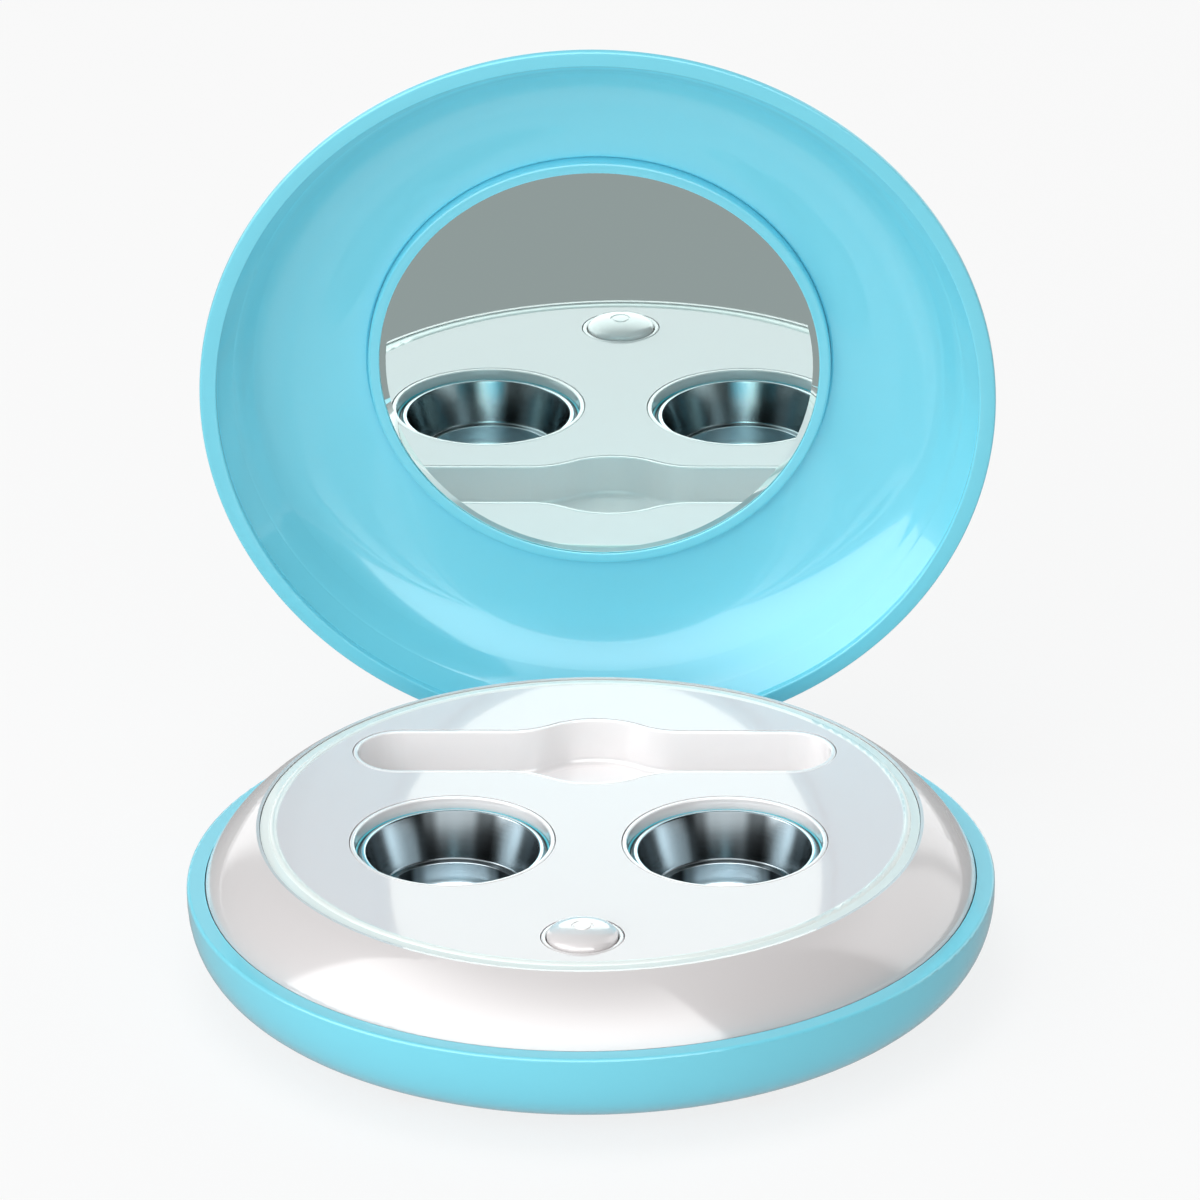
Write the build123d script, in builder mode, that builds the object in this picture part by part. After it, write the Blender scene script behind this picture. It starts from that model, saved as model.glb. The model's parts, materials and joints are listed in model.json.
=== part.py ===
from build123d import *
from math import atan, cos, radians, sin
import os

os.makedirs("parts", exist_ok=True)

# Lengths are in millimetres. The origin is the centre of the anti-slip pad's
# underside, +Z is up and the push button is at the front, towards -Y.

# Dish of the base
rim_radius = 44.0
shell_depth = 10.8
shell_wall = 1.95
shell_floor = 1.6
shell_flat_radius = 28.5
rim_side = 1.0
rim_round = 0.35
side_pull = 0.69
nest_gap = 0.1

# Anti-slip pad
pad_radius = 24.0
pad_thickness = 1.3
pad_recess = 0.5
pad_gap = 0.15

# White moulding
plate_height = 6.7
plate_thickness = 1.2
plate_inset = 8.13
plate_gap = 0.08
plate_band = 0.97
plate_bead = 0.8
plate_bead_rise = 0.14
plate_edge_drop = 0.25
brow_width = 0.35
brow_drop = 0.1
deck_thickness = 1.4
skirt_wall = 1.6
skirt_lean = 0.35
skirt_rise = 1.9
skirt_shoulder = (2.1, 1.3)
skirt_inner_drop = 0.6
tongue_depth = 2.5
tongue_wall = 1.3
collar_wall = 0.52
collar_round = 0.18

# Lens wells and their cups
well_x = 14.77
well_y = -5.06
well_radius = 10.63
well_wall = 0.9
seat_ledge = 0.63
seal_height = 1.05
seal_gap = 0.08
seal_lip = 0.2
seal_slack = 0.05
cup_sink = 1.3
cup_sheet = 0.45
cup_mouth_radius = 9.45
cup_ledge_radius = 8.0
cup_ledge_depth = 4.9
cup_step = 0.75
cup_depth = 7.9
cup_corner = 1.4
cup_lip_rise = 0.3
cup_lip_width = 0.45
flange_round = 0.2

# Ultrasonic discs
piezo_radius = 7.0
piezo_thickness = 0.4
ceramic_radius = 5.6
ceramic_thickness = 0.5

# Tweezer tray
tray_y = 17.2
tray_end_inset = 9.87
tray_width = 9.6
tray_depth = 5.2
tray_wall = 1.2
bulge_width = 15.6
bulge_length = 18.8
tray_floor_round = 0.8

# Push button
button_inset = 3.9
button_radius = 3.85
button_gap = 0.1
button_rise = 1.25
button_pull = 0.55
button_rim = 0.12
button_flange = 1.0
button_flange_height = 1.1
button_stem_radius = 1.3
button_travel = 0.5
icon_radius = 1.15
icon_line = 0.22
icon_depth = 0.12

# Circuit board and what is soldered to it
board_gap = 0.4
board_thickness = 1.2
board_back_y = 5.0
board_top_drop = 6.0
board_tongue_width = 10.0
board_tongue_inset = 4.0
post_radius = 1.9
post_inset = 2.0
post_angle = -23.6
rear_post_place = (21.0, 2.0)
board_hole_radius = 0.85
board_screw_radius = 0.7
board_screw_length = 4.0
board_screw_head_radius = 1.4
board_screw_head = 0.9
switch_size = 6.0
switch_height = 3.5
switch_corner = 0.4
plunger_radius = 1.7
plunger_gap = 0.08
plunger_height = 3.0
led_size = (2.0, 1.25, 0.8)
led_offset = 5.4
coil_radius = 2.4
coil_height = 4.0
coil_flange = 0.6
coil_core_radius = 1.1
coil_places = ((0.0, -12.5), (0.0, 1.5))
driver_size = (5.0, 5.0, 1.0)
chip_size = (7.0, 5.0, 1.2)
chip_x = 11.0
chip_inset = 9.5

# Charging socket, opening towards +X
socket_width = 8.94
socket_height = 3.2
socket_sheet = 0.3
socket_length = 7.35
socket_depth = 6.2
socket_y = 0.0
socket_setback = 1.6
socket_gap = 0.2
socket_tongue = (4.6, 6.7, 0.7)
relief_gap = 0.4

# Battery cell
cell_length = 36.0
cell_width = 17.0
cell_thickness = 5.0
cell_y = 15.2
cell_round = 1.0
cell_pad = 0.3
cell_gap = 0.3
rib_wall = 1.2
rib_height = 3.0
rib_share = 0.6

# Screws that hold the dish to the white moulding
boss_inset = 9.0
boss_angles = (-122.0, -58.0, 55.0, 125.0)
boss_radius = 2.6
boss_split = 5.0
screw_radius = 0.9
screw_gap = 0.2
screw_reach = 3.6
screw_head_radius = 1.9
screw_head = 1.6
screw_head_rise = 2.6
head_gap = 0.15
pilot_spare = 0.6

# Hinge at the back
hinge_inset = 2.3
hinge_drop = 4.0
pin_radius = 1.0
pin_gap = 0.05
knuckle_radius = 2.0
lug_width = 12.0
web_taper = 0.4
hinge_gap = 0.2
bracket_width = 21.4
bracket_top_drop = 0.4
bracket_wall = 1.5
bracket_wall_inset = 6.6
bracket_foot = 1.6
bracket_foot_inset = 11.4
bracket_foot_drop = 4.3
bracket_corner = 1.2
notch_floor_drop = 6.4
notch_spare = 1.0
hinge_screw_x = 6.5
hinge_screw_inset = 9.0
hinge_screw_radius = 0.8
hinge_screw_head_radius = 1.6
hinge_screw_head = 1.1
hinge_screw_length = 4.0
hinge_post_radius = 2.1

# Lid, drawn as if shut and stood open by this angle
open_angle = 84.0
closing_gap = 0.15
lid_rim_band = 1.85
lid_height = 11.3
lid_side = 0.6
lid_shoulder_inset = 20.0
lid_shoulder_height = 10.9
lid_flank_pull = (3.8, 5.95)
lid_brow_pull = (13.5, 0.5)
inner_side = 0.9
first_step_inset = 3.5
first_step_depth = 3.0
second_step_inset = 5.5
second_step_depth = 5.6
step_shelf = 0.25
bowl_depth = 9.1
bowl_pull = (4.5, 2.6)

# Mirror and the ring that frames it
mirror_radius = 25.0
mirror_thickness = 1.2
mirror_face_depth = 8.0
mirror_gap = 0.06
mirror_pad = 0.3
mirror_pad_inset = 1.5
ring_wall = 0.75
ring_lip = 0.2
ring_overlap = 0.55
ring_round = 0.3

# Places that follow the rim, and the ring that follows the mirror
plate_radius = rim_radius - plate_inset
tray_length = 2 * (plate_radius - tray_end_inset)
boss_circle = rim_radius - boss_inset
board_radius = boss_circle - boss_radius - board_gap
board_tongue_reach = rim_radius - board_tongue_inset
button_y = button_inset - board_radius
chip_y = chip_inset - board_radius
hinge_y = rim_radius - hinge_inset
bracket_wall_y = rim_radius - bracket_wall_inset
bracket_foot_y = rim_radius - bracket_foot_inset
hinge_screw_y = rim_radius - hinge_screw_inset
first_step_radius = rim_radius - first_step_inset
second_step_radius = rim_radius - second_step_inset
lid_shoulder_radius = rim_radius - lid_shoulder_inset
ring_radius = mirror_radius + ring_wall
ring_inner_radius = mirror_radius - ring_overlap

# Levels worked out from the sizes above
underside_z = pad_thickness - pad_recess
parting_z = underside_z + shell_depth
floor_z = underside_z + shell_floor
rim_inner_radius = rim_radius - shell_wall
skirt_radius = rim_inner_radius - nest_gap
plate_top_z = parting_z + plate_height
deck_top_z = plate_top_z - plate_thickness
deck_under_z = deck_top_z - deck_thickness
recess_radius = plate_radius + plate_gap
brow_radius = recess_radius + brow_width
brow_z = plate_top_z - brow_drop
collar_radius = well_radius + collar_wall
cup_top_z = plate_top_z - cup_sink
seal_top_z = cup_top_z - cup_sheet
seat_z = seal_top_z - seal_height
seat_radius = well_radius - seat_ledge
seal_radius = well_radius - seal_gap
seal_lip_radius = seal_radius - seal_lip
cup_floor_z = cup_top_z - cup_depth
cup_under_z = cup_floor_z - cup_sheet
brass_under_z = cup_under_z - piezo_thickness
tray_floor_z = plate_top_z - tray_depth
board_top_z = parting_z - board_top_drop
board_under_z = board_top_z - board_thickness
switch_top_z = board_top_z + switch_height
button_hole_radius = button_radius + button_gap
button_flange_top_z = deck_under_z - button_gap
button_rim_z = plate_top_z + button_rim
plunger_travel_gap = 2 * plunger_gap
plunger_top_z = board_top_z + switch_height + 2 * button_travel
socket_z = board_top_z + socket_height / 2
boss_split_z = parting_z - boss_split
screw_seat_z = underside_z + screw_head_rise
hinge_z = parting_z - hinge_drop
lug_half = lug_width / 2
block_inner = lug_half + hinge_gap
bracket_half = bracket_width / 2
notch_half = bracket_half + hinge_gap
foot_top_z = parting_z - bracket_foot_drop
foot_under_z = foot_top_z - bracket_foot


def polar(radius, angle):
    return (radius * cos(radians(angle)), radius * sin(radians(angle)))


boss_places = [polar(boss_circle, angle) for angle in boss_angles]
post_x, post_y = polar(board_radius - post_inset, post_angle)
rear_x, rear_y = rear_post_place
post_places = [(-post_x, post_y), (post_x, post_y), (-rear_x, rear_y), (rear_x, rear_y)]
hinge_screw_places = [(-hinge_screw_x, hinge_screw_y), (hinge_screw_x, hinge_screw_y)]

# Turning the shut lid about the pin gives these directions: its back edge
# swings down and its crown swings to the rear.
turn = radians(open_angle)
back_way = Vector(0, cos(turn), -sin(turn))
crown_way = Vector(0, sin(turn), cos(turn))
hinge_centre = Vector(0, hinge_y, hinge_z)
lid_centre = hinge_centre - back_way * hinge_y + crown_way * (hinge_drop + closing_gap)
lid_axis = Axis(lid_centre, crown_way)
lid_section = Plane(origin=lid_centre, x_dir=(1, 0, 0), z_dir=-back_way)
lid_across = Plane(origin=lid_centre, x_dir=(1, 0, 0), z_dir=crown_way)
lug_section = Plane(origin=hinge_centre, x_dir=back_way, z_dir=(1, 0, 0))


def save(piece, name):
    piece.part.label = name
    export_step(piece.part, f"parts/{name}.step")


def dish_side(radius, top, flat_radius, bottom):
    # Upright stretch, then one full curve down to the flat of the floor.
    upright = Line((radius, top), (radius, top - rim_side))
    drop = top - rim_side - bottom
    Bezier(
        upright @ 1,
        (radius, top - rim_side - side_pull * drop),
        (flat_radius + side_pull * (radius - flat_radius), bottom),
        (flat_radius, bottom),
    )


def tray_outline(grow):
    # Round-ended slot with a swollen middle, grown outwards by a margin. Each
    # side of the swelling is a pair of equal arcs that meet halfway.
    end_radius = tray_width / 2
    straight_end = tray_length / 2 - end_radius
    reach = bulge_length / 2
    rise = (bulge_width - tray_width) / 2
    bend = reach / (2 * sin(2 * atan(rise / reach)))
    halfway = (reach / 2, end_radius + rise / 2)
    with BuildSketch() as outline:
        with BuildLine():
            RadiusArc((0, end_radius + rise), halfway, bend)
            RadiusArc(halfway, (reach, end_radius), -bend)
            Line((reach, end_radius), (straight_end, end_radius))
            RadiusArc((straight_end, end_radius), (straight_end + end_radius, 0), end_radius)
            mirror(about=Plane.XZ)
            mirror(about=Plane.YZ)
        make_face()
        if grow > 0:
            offset(amount=grow)
    return outline.sketch


# Anti-slip pad under the dish
with BuildPart() as base_pad:
    with BuildSketch(Plane.XY):
        Circle(pad_radius)
    extrude(amount=pad_thickness)
    chamfer(base_pad.edges().group_by(Axis.Z)[0], pad_recess / 2)
save(base_pad, "base_pad")


# Cyan dish
with BuildPart() as lower_shell:
    with BuildSketch(Plane.XZ):
        with BuildLine():
            dish_side(rim_radius, parting_z, shell_flat_radius, underside_z)
            Line((shell_flat_radius, underside_z), (0, underside_z))
            Line((0, underside_z), (0, floor_z))
            Line((0, floor_z), (shell_flat_radius, floor_z))
            dish_side(rim_inner_radius, parting_z, shell_flat_radius, floor_z)
            Line((rim_inner_radius, parting_z), (rim_radius, parting_z))
        make_face()
    revolve(axis=Axis.Z)
    fillet(lower_shell.edges().group_by(Axis.Z)[-1].sort_by(SortBy.RADIUS)[-1], rim_round)
    # Screw bosses, board posts and hinge posts rise from inside the floor.
    with BuildSketch(Plane.XY.offset(underside_z + shell_floor / 2)):
        with Locations(boss_places):
            Circle(boss_radius)
    extrude(amount=boss_split_z - underside_z - shell_floor / 2)
    with BuildSketch(Plane.XY.offset(floor_z)):
        with Locations(post_places):
            Circle(post_radius)
    extrude(amount=board_under_z - floor_z)
    with BuildSketch(Plane.XY.offset(floor_z)):
        with Locations(hinge_screw_places):
            Circle(hinge_post_radius)
    extrude(amount=foot_under_z - floor_z)
    # Ribs that keep the battery cell in place
    with BuildSketch(Plane.XY.offset(floor_z)):
        with Locations((0, cell_y)):
            with GridLocations(cell_length + 2 * cell_gap + rib_wall, 0, 2, 1):
                Rectangle(rib_wall, cell_width * rib_share)
            with GridLocations(0, cell_width + 2 * cell_gap + rib_wall, 1, 2):
                Rectangle(cell_length * rib_share, rib_wall)
    extrude(amount=rib_height)
    # Recess for the anti-slip pad
    with BuildSketch(Plane.XY.offset(underside_z)):
        Circle(pad_radius + pad_gap)
    extrude(amount=pad_recess, mode=Mode.SUBTRACT)
    # Screw holes from below, with room for the heads
    with BuildSketch(Plane.XY):
        with Locations(boss_places):
            Circle(screw_head_radius + head_gap)
    extrude(amount=screw_seat_z, mode=Mode.SUBTRACT)
    with BuildSketch(Plane.XY.offset(screw_seat_z)):
        with Locations(boss_places):
            Circle(screw_radius + screw_gap)
    extrude(amount=boss_split_z - screw_seat_z, mode=Mode.SUBTRACT)
    # Blind pilot holes in the posts
    with BuildSketch(Plane.XY.offset(board_under_z)):
        with Locations(post_places):
            Circle(board_screw_radius)
    extrude(amount=-(board_screw_length - board_thickness), mode=Mode.SUBTRACT)
    with BuildSketch(Plane.XY.offset(foot_under_z)):
        with Locations(hinge_screw_places):
            Circle(hinge_screw_radius)
    extrude(amount=-(hinge_screw_length - bracket_foot), mode=Mode.SUBTRACT)
    # Gap in the rim for the hinge
    with BuildSketch(Plane.XY.offset(parting_z)):
        with Locations((0, (bracket_wall_y + rim_radius) / 2 + notch_spare)):
            Rectangle(2 * notch_half, rim_radius - bracket_wall_y + 2 * notch_spare)
    extrude(amount=-notch_floor_drop, mode=Mode.SUBTRACT)
    # Relief inside the wall for the board's tongue, then the socket's mouth
    with BuildSketch(Plane.XY.offset(board_under_z - relief_gap / 2)):
        with Locations(((board_radius + board_tongue_reach + relief_gap) / 2, socket_y)):
            Rectangle(
                board_tongue_reach + relief_gap - board_radius,
                board_tongue_width + 2 * relief_gap,
            )
    extrude(amount=shell_depth, mode=Mode.SUBTRACT)
    with BuildSketch(Plane.YZ.offset(board_tongue_reach)):
        with Locations((socket_y, socket_z)):
            SlotOverall(socket_width + 2 * socket_gap, socket_height + 2 * socket_gap)
    extrude(amount=rim_radius - board_tongue_reach, mode=Mode.SUBTRACT)
save(lower_shell, "lower_shell")


# White moulding: skirt, deck, wells, tray and bosses in one
with BuildPart() as top_body:
    with BuildSketch(Plane.XZ):
        with BuildLine():
            Bezier(
                (skirt_radius, parting_z),
                (skirt_radius - skirt_lean, parting_z + skirt_rise),
                (brow_radius + skirt_shoulder[0], brow_z - skirt_shoulder[1]),
                (brow_radius, brow_z),
            )
            Line((brow_radius, brow_z), (recess_radius, brow_z))
            Line((recess_radius, brow_z), (recess_radius, deck_top_z))
            Line((recess_radius, deck_top_z), (0, deck_top_z))
            Line((0, deck_top_z), (0, deck_under_z))
            Line((0, deck_under_z), (recess_radius - skirt_wall, deck_under_z))
            tongue_radius = skirt_radius - nest_gap
            inner_radius = tongue_radius - tongue_wall
            Bezier(
                (recess_radius - skirt_wall, deck_under_z),
                (recess_radius + skirt_wall, deck_under_z - skirt_inner_drop),
                (inner_radius, parting_z + skirt_rise),
                (inner_radius, parting_z),
            )
            Polyline(
                (inner_radius, parting_z),
                (inner_radius, parting_z - tongue_depth),
                (tongue_radius, parting_z - tongue_depth),
                (tongue_radius, parting_z),
                (skirt_radius, parting_z),
            )
        make_face()
    revolve(axis=Axis.Z)
    # Well tubes, tray box and button collar stand through the deck.
    with BuildSketch(Plane.XY.offset(seat_z - well_wall)):
        with GridLocations(2 * well_x, 0, 2, 1):
            with Locations((0, well_y)):
                Circle(well_radius + well_wall)
    extrude(amount=deck_under_z - seat_z + well_wall)
    with BuildSketch(Plane.XY.offset(deck_under_z)):
        with GridLocations(2 * well_x, 0, 2, 1):
            with Locations((0, well_y)):
                Circle(collar_radius)
        with Locations((0, button_y)):
            Circle(button_hole_radius + collar_wall)
    extrude(amount=plate_top_z - deck_under_z)
    with BuildSketch(Plane.XY.offset(tray_floor_z - tray_wall)):
        with Locations((0, tray_y)):
            add(tray_outline(tray_wall))
    extrude(amount=deck_top_z - tray_floor_z + tray_wall)
    with BuildSketch(Plane.XY.offset(deck_under_z)):
        with Locations((0, tray_y)):
            add(tray_outline(collar_wall))
    extrude(amount=plate_top_z - deck_under_z)
    # Screw bosses
    with BuildSketch(Plane.XY.offset(boss_split_z)):
        with Locations(boss_places):
            Circle(boss_radius)
    extrude(amount=deck_top_z - boss_split_z)
    # Openings: wells down to the seal ledge, then the ledge's own bore
    with BuildSketch(Plane.XY.offset(plate_top_z)):
        with GridLocations(2 * well_x, 0, 2, 1):
            with Locations((0, well_y)):
                Circle(well_radius)
    extrude(amount=seat_z - plate_top_z, mode=Mode.SUBTRACT)
    with BuildSketch(Plane.XY.offset(seat_z)):
        with GridLocations(2 * well_x, 0, 2, 1):
            with Locations((0, well_y)):
                Circle(seat_radius)
    extrude(amount=-well_wall, mode=Mode.SUBTRACT)
    with BuildSketch(Plane.XY.offset(plate_top_z)):
        with Locations((0, button_y)):
            Circle(button_hole_radius)
    extrude(amount=deck_under_z - plate_top_z, mode=Mode.SUBTRACT)
    with BuildSketch(Plane.XY.offset(plate_top_z)):
        with Locations((0, tray_y)):
            add(tray_outline(0))
    extrude(amount=-tray_depth, mode=Mode.SUBTRACT)
    with BuildSketch(Plane.XY.offset(boss_split_z)):
        with Locations(boss_places):
            Circle(screw_radius)
    extrude(amount=screw_reach + pilot_spare, mode=Mode.SUBTRACT)
    # The tongue stops at the hinge.
    with BuildSketch(Plane.XY.offset(parting_z)):
        with Locations((0, (bracket_wall_y + rim_radius) / 2)):
            Rectangle(2 * notch_half, rim_radius - bracket_wall_y)
    extrude(amount=-tongue_depth, mode=Mode.SUBTRACT)
    fillet(top_body.edges().group_by(Axis.Z)[-1], collar_round)
    tray_floor_edges = [
        edge
        for edge in top_body.edges()
        if abs(edge.center().Z - tray_floor_z) < 0.01
        if abs(edge.center().Y - tray_y) < bulge_width
    ]
    fillet(tray_floor_edges, tray_floor_round)
save(top_body, "top_body")


# Clear cover plate with a bead near its edge
with BuildPart() as cover_plate:
    with BuildSketch(Plane.XZ):
        band_inner = plate_radius - plate_band
        bead_inner = band_inner - plate_bead
        with BuildLine():
            Polyline(
                (bead_inner, plate_top_z),
                (0, plate_top_z),
                (0, deck_top_z),
                (plate_radius, deck_top_z),
                (plate_radius, plate_top_z - plate_edge_drop),
                (band_inner, plate_top_z - plate_edge_drop / 2),
            )
            ThreePointArc(
                (band_inner, plate_top_z - plate_edge_drop / 2),
                (band_inner - plate_bead / 2, plate_top_z + plate_bead_rise),
                (bead_inner, plate_top_z),
            )
        make_face()
    revolve(axis=Axis.Z)
    with BuildSketch(Plane.XY.offset(deck_top_z)):
        with GridLocations(2 * well_x, 0, 2, 1):
            with Locations((0, well_y)):
                Circle(collar_radius + plate_gap)
        with Locations((0, button_y)):
            Circle(button_hole_radius + collar_wall + plate_gap)
        with Locations((0, tray_y)):
            add(tray_outline(collar_wall + plate_gap))
    extrude(amount=plate_thickness, mode=Mode.SUBTRACT)
save(cover_plate, "cover_plate")


# Lens cups with their seals and ultrasonic discs
for side, side_name in ((-1, "left"), (1, "right")):
    well_plane = Plane(origin=(side * well_x, well_y, 0), x_dir=(1, 0, 0), z_dir=(0, -1, 0))
    well_axis = Axis((side * well_x, well_y, 0), (0, 0, 1))

    with BuildPart() as cup:
        flange_radius = seal_lip_radius - seal_slack
        ledge_z = cup_top_z - cup_ledge_depth
        lower_radius = cup_ledge_radius - cup_step
        lip_z = cup_top_z + cup_lip_rise
        lip_foot_radius = cup_mouth_radius + cup_lip_width + cup_lip_rise / 2
        with BuildSketch(well_plane):
            with BuildLine():
                Polyline(
                    (0, cup_floor_z),
                    (lower_radius, cup_floor_z),
                    (lower_radius, ledge_z),
                    (cup_ledge_radius, ledge_z),
                    (cup_mouth_radius, lip_z),
                    (cup_mouth_radius + cup_lip_width, lip_z),
                    (lip_foot_radius, cup_top_z),
                    (flange_radius, cup_top_z),
                    (flange_radius, seal_top_z),
                    (cup_mouth_radius + cup_sheet, seal_top_z),
                    (cup_ledge_radius + cup_sheet, ledge_z - cup_sheet),
                    (lower_radius + cup_sheet, ledge_z - cup_sheet),
                    (lower_radius + cup_sheet, cup_under_z),
                    (0, cup_under_z),
                    (0, cup_floor_z),
                )
            make_face()
        revolve(axis=well_axis)
        circles = cup.edges().filter_by(GeomType.CIRCLE)
        fillet(circles.group_by(Axis.Z)[1].sort_by(SortBy.RADIUS)[-1], cup_corner)
        circles = cup.edges().filter_by(GeomType.CIRCLE)
        fillet(circles.group_by(Axis.Z)[0].sort_by(SortBy.RADIUS)[-1], cup_corner)
        circles = cup.edges().filter_by(GeomType.CIRCLE)
        fillet(circles.group_by(Axis.Z)[-2].sort_by(SortBy.RADIUS)[-1], flange_round)
        circles = cup.edges().filter_by(GeomType.CIRCLE)
        fillet(circles.group_by(Axis.Z)[-1], flange_round)
    save(cup, f"{side_name}_cup")

    with BuildPart() as cup_seal:
        with BuildSketch(well_plane):
            with BuildLine():
                Polyline(
                    (seat_radius + seal_gap, seat_z),
                    (seal_radius, seat_z),
                    (seal_radius, cup_top_z),
                    (seal_lip_radius, cup_top_z),
                    (seal_lip_radius, seal_top_z),
                    (seat_radius + seal_gap, seal_top_z),
                    (seat_radius + seal_gap, seat_z),
                )
            make_face()
        revolve(axis=well_axis)
    save(cup_seal, f"{side_name}_cup_seal")

    with BuildPart() as piezo_plate:
        with BuildSketch(Plane.XY.offset(cup_under_z)):
            with Locations((side * well_x, well_y)):
                Circle(piezo_radius)
        extrude(amount=-piezo_thickness)
    save(piezo_plate, f"{side_name}_piezo_plate")

    with BuildPart() as piezo_ceramic:
        with BuildSketch(Plane.XY.offset(brass_under_z)):
            with Locations((side * well_x, well_y)):
                Circle(ceramic_radius)
        extrude(amount=-ceramic_thickness)
    save(piezo_ceramic, f"{side_name}_piezo_ceramic")


# Push button: dome, cap, stop flange and stem
with BuildPart() as power_button:
    button_plane = Plane(origin=(0, button_y, 0), x_dir=(1, 0, 0), z_dir=(0, -1, 0))
    flange_outer = button_radius + button_flange
    flange_bottom_z = button_flange_top_z - button_flange_height
    with BuildSketch(button_plane):
        with BuildLine():
            Polyline(
                (0, button_rim_z + button_rise),
                (0, plunger_top_z),
                (button_stem_radius, plunger_top_z),
                (button_stem_radius, flange_bottom_z),
                (flange_outer, flange_bottom_z),
                (flange_outer, button_flange_top_z),
                (button_radius, button_flange_top_z),
                (button_radius, button_rim_z),
            )
            Bezier(
                (button_radius, button_rim_z),
                (button_radius, button_rim_z + button_pull * button_rise),
                (button_pull * button_radius, button_rim_z + button_rise),
                (0, button_rim_z + button_rise),
            )
        make_face()
    revolve(axis=Axis((0, button_y, 0), (0, 0, 1)))
    # Plain ring engraved in the crown, as a mark for the finger
    with BuildSketch(Plane.XY.offset(button_rim_z + button_rise)):
        with Locations((0, button_y)):
            Circle(icon_radius)
            Circle(icon_radius - icon_line, mode=Mode.SUBTRACT)
    extrude(amount=-icon_depth - icon_line, mode=Mode.SUBTRACT)
save(power_button, "power_button")


# Switch under the button and the plunger that moves with the stem
with BuildPart() as tact_switch:
    with BuildSketch(Plane.XY.offset(board_top_z)):
        with Locations((0, button_y)):
            RectangleRounded(switch_size, switch_size, switch_corner)
    extrude(amount=switch_height)
    with BuildSketch(Plane.XY.offset(switch_top_z)):
        with Locations((0, button_y)):
            Circle(plunger_radius + plunger_gap)
    extrude(amount=-(plunger_height - button_travel + plunger_travel_gap), mode=Mode.SUBTRACT)
save(tact_switch, "tact_switch")

with BuildPart() as switch_plunger:
    with BuildSketch(Plane.XY.offset(plunger_top_z)):
        with Locations((0, button_y)):
            Circle(plunger_radius)
    extrude(amount=-plunger_height)
save(switch_plunger, "switch_plunger")


# Circuit board: round at the front, straight before the battery
with BuildPart() as control_board:
    with BuildSketch(Plane.XY.offset(board_under_z)):
        Circle(board_radius)
        with Locations((0, board_back_y + board_radius)):
            Rectangle(2 * board_radius, 2 * board_radius, mode=Mode.SUBTRACT)
        with Locations((board_tongue_reach / 2, socket_y)):
            Rectangle(board_tongue_reach, board_tongue_width)
        with Locations(post_places):
            Circle(board_hole_radius, mode=Mode.SUBTRACT)
    extrude(amount=board_thickness)
save(control_board, "control_board")

with BuildPart() as board_screws:
    with BuildSketch(Plane.XY.offset(board_top_z)):
        with Locations(post_places):
            Circle(board_screw_head_radius)
    extrude(amount=board_screw_head)
    with BuildSketch(Plane.XY.offset(board_top_z)):
        with Locations(post_places):
            Circle(board_screw_radius)
    extrude(amount=-board_screw_length)
save(board_screws, "board_screws")

with BuildPart() as status_led:
    with Locations((led_offset, button_y, board_top_z)):
        Box(*led_size, align=(Align.CENTER, Align.CENTER, Align.MIN))
save(status_led, "status_led")

with BuildPart() as board_chips:
    with Locations((-chip_x, chip_y, board_top_z), (chip_x, chip_y, board_top_z)):
        Box(*chip_size, align=(Align.CENTER, Align.CENTER, Align.MIN))
    with Locations((-well_x, well_y, board_top_z), (well_x, well_y, board_top_z)):
        Box(*driver_size, align=(Align.CENTER, Align.CENTER, Align.MIN))
save(board_chips, "board_chips")

with BuildPart() as coil_cores:
    for level, height, radius in (
        (board_top_z, coil_flange, coil_radius),
        (board_top_z + coil_flange, coil_height - 2 * coil_flange, coil_core_radius),
        (board_top_z + coil_height - coil_flange, coil_flange, coil_radius),
    ):
        with BuildSketch(Plane.XY.offset(level)):
            with Locations(coil_places):
                Circle(radius)
        extrude(amount=height)
save(coil_cores, "coil_cores")

with BuildPart() as coil_windings:
    with BuildSketch(Plane.XY.offset(board_top_z + coil_flange)):
        with Locations(coil_places):
            Circle(coil_radius - coil_flange / 2)
            Circle(coil_core_radius, mode=Mode.SUBTRACT)
    extrude(amount=coil_height - 2 * coil_flange)
save(coil_windings, "coil_windings")


# Charging socket: steel shell and the contact tongue inside it
mouth_x = rim_radius - socket_setback
socket_back_x = mouth_x - socket_length
with BuildPart() as charging_socket:
    with BuildSketch(Plane.YZ.offset(socket_back_x)):
        with Locations((socket_y, socket_z)):
            SlotOverall(socket_width, socket_height)
    extrude(amount=socket_length)
    with BuildSketch(Plane.YZ.offset(mouth_x)):
        with Locations((socket_y, socket_z)):
            SlotOverall(socket_width - 2 * socket_sheet, socket_height - 2 * socket_sheet)
    extrude(amount=-socket_depth, mode=Mode.SUBTRACT)
save(charging_socket, "charging_socket")

with BuildPart() as socket_contacts:
    with Locations((mouth_x - socket_depth, socket_y, socket_z)):
        Box(*socket_tongue, align=(Align.MIN, Align.CENTER, Align.CENTER))
save(socket_contacts, "socket_contacts")


# Battery cell on its foam pad
with BuildPart() as battery_pad:
    with BuildSketch(Plane.XY.offset(floor_z)):
        with Locations((0, cell_y)):
            Rectangle(cell_length - 2 * cell_round, cell_width - 2 * cell_round)
    extrude(amount=cell_pad)
save(battery_pad, "battery_pad")

with BuildPart() as battery:
    with BuildSketch(Plane.XY.offset(floor_z + cell_pad)):
        with Locations((0, cell_y)):
            Rectangle(cell_length, cell_width)
    extrude(amount=cell_thickness)
    fillet(battery.edges().filter_by(Axis.X), cell_round)
    fillet(battery.edges().filter_by(Axis.Y), cell_round / 2)
save(battery, "battery")


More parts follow.
